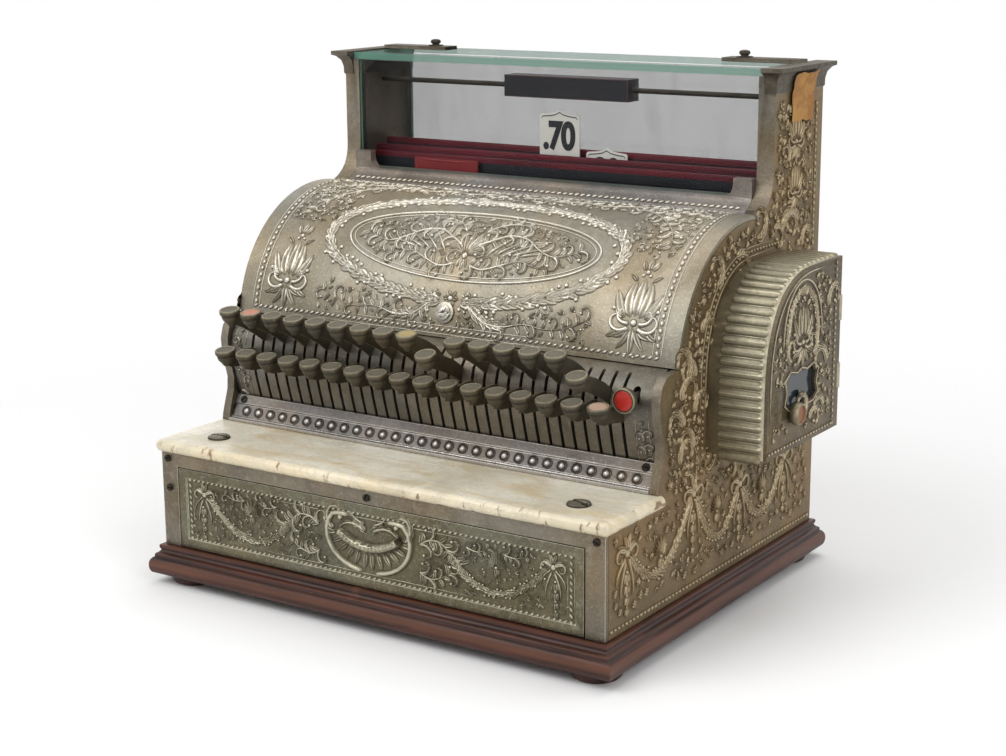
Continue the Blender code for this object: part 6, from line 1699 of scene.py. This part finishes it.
for slot in range(33):
    row = "upper" if slot % 2 else "lower"
    name = f"key_{row}_{slot // 2 + 1:02d}"
    makeKey(name, keyLook["first"] + keyLook["pitch"] * slot, row, name in ("key_upper_10", "key_upper_16"))
print("keys made")

# release button and lid lock

buttonLook = {"place": (0.2046, 0.069, 0.212), "radius": 0.0105}


def makeButton():
    r = buttonLook["radius"]
    profile = [(0.0, 0.0002), (r * 0.55, 0.0001), (r * 0.78, -0.0003), (r * 0.83, -0.0008), (r * 0.85, 0.0),
               (r * 0.93, 0.0003), (r, -0.0004), (r, -0.0046), (r * 0.86, -0.008), (0.003, -0.0082),
               (0.003, -0.08),
               (0.0, -0.08)]
    # crests: the groove round the face dark with grime and painted shade, the rim bright with rubbed metal and a
    # painted highlight
    crests = [0.5, 0.5, 0.5, 0.2, 0.8, 1.0, 0.9, 0.4, 0.2, 0.2, 0.4, 0.3]
    centre = at(*buttonLook["place"])
    bm = turnedShape(profile, 36, (0, -1, 0), centre, crests)

    def onFace(spot, normal):
        spot = spot - centre
        return int(spot.y < 0.0006 and math.hypot(spot.x, spot.z) < r * 0.79)

    sortFaces(bm, onFace)
    mesh = meshOf("releaseButton", bm, ["keyBronze", "buttonRed"], 40)
    pieceFor("release_button", "releaseButton", mesh, True)


makeButton()
print("button made")

# studs and screws

railLook = {"start": (-0.2065, 0.08948, 0.14332), "end": (0.2065, 0.08948, 0.14332),
            "outward": (0, -0.8614, 0.5079),
            "count": 30}


def makeStuds():
    profile = [(0.0047, -0.0006), (0.0049, 0.001), (0.0045, 0.0013), (0.004, 0.0009), (0.0037, 0.0001),
               (0.0034, 0.0001), (0.0031, 0.0008), (0.0022, 0.0014), (0.001, 0.0017), (0.0, 0.0018)]
    # crests: the cup round the dome dark with grime and painted shade, the dome's top rubbed metal with a painted
    # highlight
    crests = [0.3, 0.5, 0.62, 0.35, 0.08, 0.15, 0.5, 0.8, 0.95, 1.0]
    shape = template("studShape", turnedShape(profile, 20, crests=crests), "silver")
    start, end = Vector(railLook["start"]), Vector(railLook["end"])
    outward = Vector(railLook["outward"])
    mesh = rowMesh("railStuds", [[(home + start, outward), (home + end, outward)]], shape, "silver",
                   (end - start).length / (railLook["count"] - 1))
    bpy.data.objects.remove(shape)
    pieceFor("stud_rail", "railStuds", mesh)


makeStuds()

screwLook = {
    "slot": 0.16, "deep": 0.62,  # the slot's half width and depth, in shares of the head's size
    "marbleBolts": [(-0.188, 0.03, 0.134), (0.188, 0.03, 0.134)],
    "frameScrews": [(-0.2225, -0.0006, 0.1175), (0.0, -0.0006, 0.1168), (0.2225, -0.0006, 0.1175),
                    (-0.2215, -0.0006, 0.0905)],
    "railScrews": [(-0.2125, 0.0936, 0.1527), (0.2125, 0.0936, 0.1527)],
    "armBolts": [(-0.168, 0.3447, 0.4629), (0.168, 0.3447, 0.4629)],
    "bolt": ((0.0, -0.0004), (0.0074, -0.0004), (0.0074, 0.0009), (0.0036, 0.0012), (0.0034, 0.002),
             (0.0047, 0.0027),
             (0.0051, 0.0042), (0.0044, 0.0057), (0.0022, 0.0064), (0.0, 0.0065)),
}


def slottedHead(radius, height, slotTurn, rubAndHighlight=0.65, sides=28):
    # a low dome cut by a slot, standing on z = 0
    bm = newShape()
    rings = []
    for share, up in ((1.0, -0.5), (1.0, 0.35), (0.93, 0.72), (0.7, 0.92), (0.45, 0.98), (0.22, 1.0)):
        spots, crests = [], []
        for x, y in circle(radius * share, sides):
            sunk = abs(y) < radius * screwLook["slot"] and up > 0
            spots.append((x, y, height * (up - (screwLook["deep"] if sunk else 0) * min(1, up * 1.4))))
            # the slot dark with grime and painted shade, the dome towards its top rubbed bright with a painted
            # highlight
            crests.append(0.05 if sunk else 0.35 + rubAndHighlight * up)
        rings.append(addRing(bm, spots, crests))
    rings.append(addRing(bm, [(0, 0, height * 0.38)], 0.0))
    bm.faces.new(rings[0][::-1])
    skinRings(bm, rings)
    bm.transform(Matrix.Rotation(slotTurn, 4, "Z"))
    return bm


def screwPiece(name, spots, outward, radius, height, finishName, slotName, turns, rubAndHighlight=0.65):
    meshes = []
    for spot, turn in zip(spots, turns):
        bm = slottedHead(radius, height, turn, rubAndHighlight)
        standOn(bm, at(*spot), outward)
        meshes.append(meshOf(name, bm, [finishName], 40))
    ownPiece(name, joinMeshes(name, meshes), "cabinet", slotName)


screwPiece("marbleBolts", screwLook["marbleBolts"], (0, 0, 1), 0.01, 0.003, "darkIron", "steel", (0.2, -0.3))
screwPiece("frameScrews", screwLook["frameScrews"], (0, -1, 0), 0.0033, 0.0017, "darkIron", "steel",
           (0.5, 1.2, -0.4, 0.1), -0.15)
screwPiece("railScrews", screwLook["railScrews"], (0, -0.8614, 0.5079), 0.0036, 0.0016, "darkIron", "steel",
           (0.9, -0.2), -0.1)
bolts = [meshOf("bolt", turnedShape(screwLook["bolt"], 20, place=at(*spot)), ["darkIron"], 40)
         for spot in screwLook["armBolts"]]
ownPiece("armBolts", joinMeshes("armBolts", bolts), "cabinet", "steel")
print("studs and screws made")

# the flags' numerals

numeralLook = {"frontOf": 0.33065, "thickness": 0.0002, "boldness": 0.0013, "closeness": 0.95, "rows": (
    ("amountNumerals", ".70", -0.017, 0.3725, 0.0318, "flag_amount_body"),
    ("secondNumerals", "80", 0.035, 0.3413, 0.0318, "flag_second_body"))}


headLine = {"reach": 0.0068, "narrow": 0.9, "drops": (0.0017, 0.0026)}


def makeHeadLine(nodeName):
    # a thin painted line that follows the flag's pointed head
    low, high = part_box(nodeName)
    middle = (low.x + high.x) / 2
    front, back = (home.y + numeralLook["frontOf"] + out * numeralLook["thickness"] for out in (-1.4, 0.4))
    upper, lower = headLine["drops"]
    bm = bmesh.new()
    rings = []
    for x, z in sorted({(round(v.co.x, 5), round(v.co.z, 5)) for v in nodes[nodeName].data.vertices
                        if v.co.z > high.z - headLine["reach"]}):
        x = middle + (x - middle) * headLine["narrow"]
        rings.append([bm.verts.new((x, y, z - drop)) for y, drop in
                      ((front, upper), (front, lower), (back, lower), (back, upper))])
    skinRings(bm, rings)
    bm.faces.new(rings[0])
    bm.faces.new(rings[-1][::-1])
    return meshOf("headLine", bm, ["numeralInk"], 30)


def makeNumerals(pieceName, text, x, foot, size, body):
    curve = bpy.data.curves.new(pieceName, "FONT")
    curve.body = text
    curve.size = size
    curve.align_x = "CENTER"
    curve.extrude = numeralLook["thickness"]
    curve.offset = numeralLook["boldness"]
    curve.space_character = numeralLook["closeness"]
    mesh = plainMesh(newObject(pieceName + "Flat", curve), pieceName)
    mesh.transform(Matrix.Translation(at(x, numeralLook["frontOf"] - numeralLook["thickness"] * 0.4, foot))
                   @ Matrix.Rotation(math.pi / 2, 4, "X") @ Matrix.Diagonal((0.95, 1.12, 1, 1)))
    mesh.materials.clear()
    mesh.materials.append(finishes["numeralInk"])
    mesh = joinMeshes(pieceName, [mesh, makeHeadLine(body.removesuffix("_body"))])
    ownPiece(pieceName, mesh, body, "black")


for row in numeralLook["rows"]:
    makeNumerals(*row)
print("numerals made")

# small ornament: comb ends, window strip, flag borders, the old tag

fineLook = {"comb": 0.2105, "combFrom": 0.16, "combTo": {-1: 0.212, 1: 0.184}, "curls": 5, "strip": 0.2635,
            "credit": (-0.1285, 0.3475, 0.035, 0.0088), "creditFront": 0.3029,
            "tag": (0.308, 0.352, 0.412, 0.4535), "tagLift": 0.0019, "tagThickness": 0.0004, "tagCells": (14, 16)}
skins = {name: skinOf(name) for name in ("key_comb", "window_frame", "right_side")}


def onComb(u, v, h):
    spot, normal = dropOn(skins["key_comb"], (u, 0, v), (0, 1, 0))
    return spot + normal * h


def onStrip(u, v, h):
    spot, normal = dropOn(skins["window_frame"], (u, v, 0.46), (0, 0, -1))
    return spot + normal * h


def onCredit(u, v, h):
    return at(u, fineLook["creditFront"] - h, v)


def makeFineWork():
    work = newCarving(onComb)
    for flip in (-1, 1):
        u, low, high = flip * fineLook["comb"], fineLook["combFrom"], fineLook["combTo"][flip]
        for k in range(fineLook["curls"]):
            v = low + (high - low) * k / (fineLook["curls"] - 1)
            leafScroll(work, (u, v - 0.004), 90 - flip * 20, 0.017, flip * (1 if k % 2 else -1), 0.001, 0.0012)
            stamp(work, "husk", (u, v + 0.004), 180, 0.0055, 1, 0.0012)
        for edge in (-0.0062, 0.0062):
            drawStroke(work, straight((u + edge, low - 0.008), (u + edge, high + 0.011), 14), "line", 0.0004,
                       0.0006)
    carvedPiece("key_comb", "combEnds", work, [], "comb")
    flag = newCarving(onCredit)
    x, z, wide, high = fineLook["credit"]
    for a, b in loopOf(rectangle(wide, z - high, z + high, x)):
        drawStroke(flag, straight(a, b, 5), "line", 0.0009, 0.0007)
    carvedPiece("flag_credit", "creditBorder", flag, [], "redEnamel")
    lines = [lineOn(onStrip, straight((-0.205, fineLook["strip"]), (0.205, fineLook["strip"]), 3))]
    strip = rowMesh("stripBeads", lines, pearl, "nickel", 0.0062, (0.0029, 0.0016, 0.0013), 0.5, 0.06, 14)
    pieceFor("window_frame", "stripBeads", strip)


def makeTag():
    # a scrap of old paper stuck to the capital and creased down the side
    near, far, low, high = fineLook["tag"]
    across, up = fineLook["tagCells"]
    bm = bmesh.new()
    sheets = []
    for lift in (fineLook["tagLift"], fineLook["tagLift"] - fineLook["tagThickness"]):
        sheet = []
        for i in range(across + 1):
            column = []
            for j in range(up + 1):
                y, z = near + (far - near) * i / across, low + (high - low) * j / up
                ragged = noise.noise(Vector((y * 90, z * 90, 2.0))) * 0.0022
                edge = i in (0, across) or j in (0, up)
                spot, _ = dropOn(skins["right_side"], (0.4, y, z), (-1, 0, 0))
                crease = 0.001 * abs(noise.noise(Vector((y * 60, z * 45, 7.0)))) + 0.0006
                column.append(bm.verts.new((spot.x + lift + crease, spot.y + (ragged if edge else 0),
                                            spot.z + (ragged if edge else 0))))
            sheet.append(column)
        sheets.append(sheet)
    for n, sheet in enumerate(sheets):
        for i in range(across):
            for j in range(up):
                square = [sheet[i][j], sheet[i + 1][j], sheet[i + 1][j + 1], sheet[i][j + 1]]
                bm.faces.new(square if n == 0 else square[::-1])
    rim = [(i, 0) for i in range(across)] + [(across, j) for j in range(up)]
    rim += [(i, up) for i in range(across, 0, -1)] + [(0, j) for j in range(up, 0, -1)]
    for (a, b), (c, d) in loopOf(rim):
        bm.faces.new((sheets[0][a][b], sheets[1][a][b], sheets[1][c][d], sheets[0][c][d]))
    ownPiece("agedTag", meshOf("agedTag", bm, ["agedTag"], 60), "cabinet", "paper")


def carveBack():
    # the rear plate: a wreath with a lily in it, and a rope round the edge
    work = newCarving(onBack)
    rng = random.Random(90)
    half, low, high = backLook["half"], backLook["low"], backLook["high"]
    middle = (low + high) / 2
    for start, end in ((-90, 90), (-90, -270)):
        garland(work, ovalPath(0, middle, 0.09, 0.062, turns(start, end, 40)), 0.016, rng, 0.9)
    ring = ovalPath(0, middle, 0.074, 0.048, turns(0, 360, 60))[:-1]
    drawStroke(work, ring, "line", 0.0012, 0.0014, closed=True)
    stamp(work, "lily", (0, middle - 0.008), 0, 0.058, 1, 0.0015)
    for flip in (-1, 1):
        for v, rise in ((low + 0.03, 1), (high - 0.03, -1)):
            row = [(flip * (0.17 - 0.022 * k), v + rise * 0.006 * math.sin(1.6 * k)) for k in range(6)]
            vine(work, row, 0.024, 91, 0.0014)
    lines = [lineOn(onBack, straight(a, b)) for a, b in loopOf(rectangle(half, low, high))]
    rope = rowMesh("backRope", lines, pearl, "olive", 0.007, (0.0032, 0.0018, 0.0012), 0.4, 0.06, 92)
    carvedPiece("back_cover", "backCarving", work, [rope], "olive")


def makeLockFace():
    # the key slot's round face, sunk in a bright ring
    outside, seat = onLid(0, lidShell["lock"][1], 0.03), onLid(0, lidShell["lock"][1], 0)
    outward = (outside - seat).normalized()
    spot = skinOf("lid_lock").ray_cast(outside, -outward)[0]
    bm = slottedHead(0.0052, 0.002, 0.6)
    standOn(bm, spot, outward)
    pieceFor("lid_lock", "lockFace", meshOf("lockFace", bm, ["steel"], 40))


makeFineWork()
makeTag()
carveBack()
makeLockFace()
print("fine work made")

# camera, lamps, floor

cameraLook = {"place": (0.9382, -1.2097, 0.5848), "turn": 0.5851, "tilt": -0.2356, "roll": -0.0066, "lens": 68.64}


def setCamera():
    data = bpy.data.cameras.new("camera")
    data.lens = cameraLook["lens"]
    data.sensor_width = 36
    data.clip_start = 0.05
    camera = newObject("camera", data)
    camera.matrix_world = (Matrix.Translation(at(*cameraLook["place"]))
                           @ Matrix.Rotation(cameraLook["turn"], 4, "Z")
                           @ Matrix.Rotation(math.pi / 2 + cameraLook["tilt"], 4, "X")
                           @ Matrix.Rotation(cameraLook["roll"], 4, "Z"))
    bpy.context.scene.camera = camera


lightLook = {
    "lamps": (("keyLamp", (-0.9, -1.6, 1.9), 1.6, 27), ("fillLamp", (1.9, -0.9, 1.3), 1.2, 12),
              ("topLamp", (0.1, 0.5, 2.1), 1.6, 16)),
    "world": 0.55,
}


def setLight():
    for name, place, size, power in lightLook["lamps"]:
        data = bpy.data.lights.new(name, "AREA")
        data.shape = "SQUARE"
        data.size = size
        data.energy = power
        lamp = newObject(name, data)
        lamp.location = place
        aim = Vector((0, 0, 0.2)) - Vector(place)
        lamp.rotation_euler = aim.to_track_quat("-Z", "Y").to_euler()
    world = bpy.data.worlds.new("studio")
    bpy.context.scene.world = world
    world.use_nodes = True
    tree = world.node_tree
    tree.nodes.clear()
    path = addNode(tree, "ShaderNodeLightPath").outputs
    seen = reckon(tree, "MAXIMUM", path["Is Camera Ray"],
                  reckon(tree, "MAXIMUM", path["Is Glossy Ray"], path["Is Transmission Ray"]))
    dim, full = (addNode(tree, "ShaderNodeBackground", {"Color": (1, 1, 1), "Strength": strength}).outputs[0]
                 for strength in (lightLook["world"], 1))
    mixed = addNode(tree, "ShaderNodeMixShader", {0: seen, 1: dim, 2: full}).outputs[0]
    addNode(tree, "ShaderNodeOutputWorld", {0: mixed})


def setFloor():
    material, tree, shader = startMaterial("paleFloor")
    distance = addNode(tree, "ShaderNodeVectorMath", {0: objectPlace(tree)}, operation="LENGTH").outputs["Value"]
    feed(tree, shader, {"Base Color": (0.93, 0.93, 0.93), "Roughness": 0.9,
                        "Alpha": spread(tree, distance, 0.42, 1.05, 1, 0)})
    bm = bmesh.new()
    bmesh.ops.create_grid(bm, x_segments=1, y_segments=1, size=30)
    mesh = bpy.data.meshes.new("studioFloor")
    bm.to_mesh(mesh)
    bm.free()
    mesh.materials.append(material)
    newObject("studioFloor", mesh)


setCamera()
setLight()
setFloor()
bpy.data.objects.remove(pearl)
bpy.context.scene.view_settings.view_transform = "Standard"

print("scene ready")
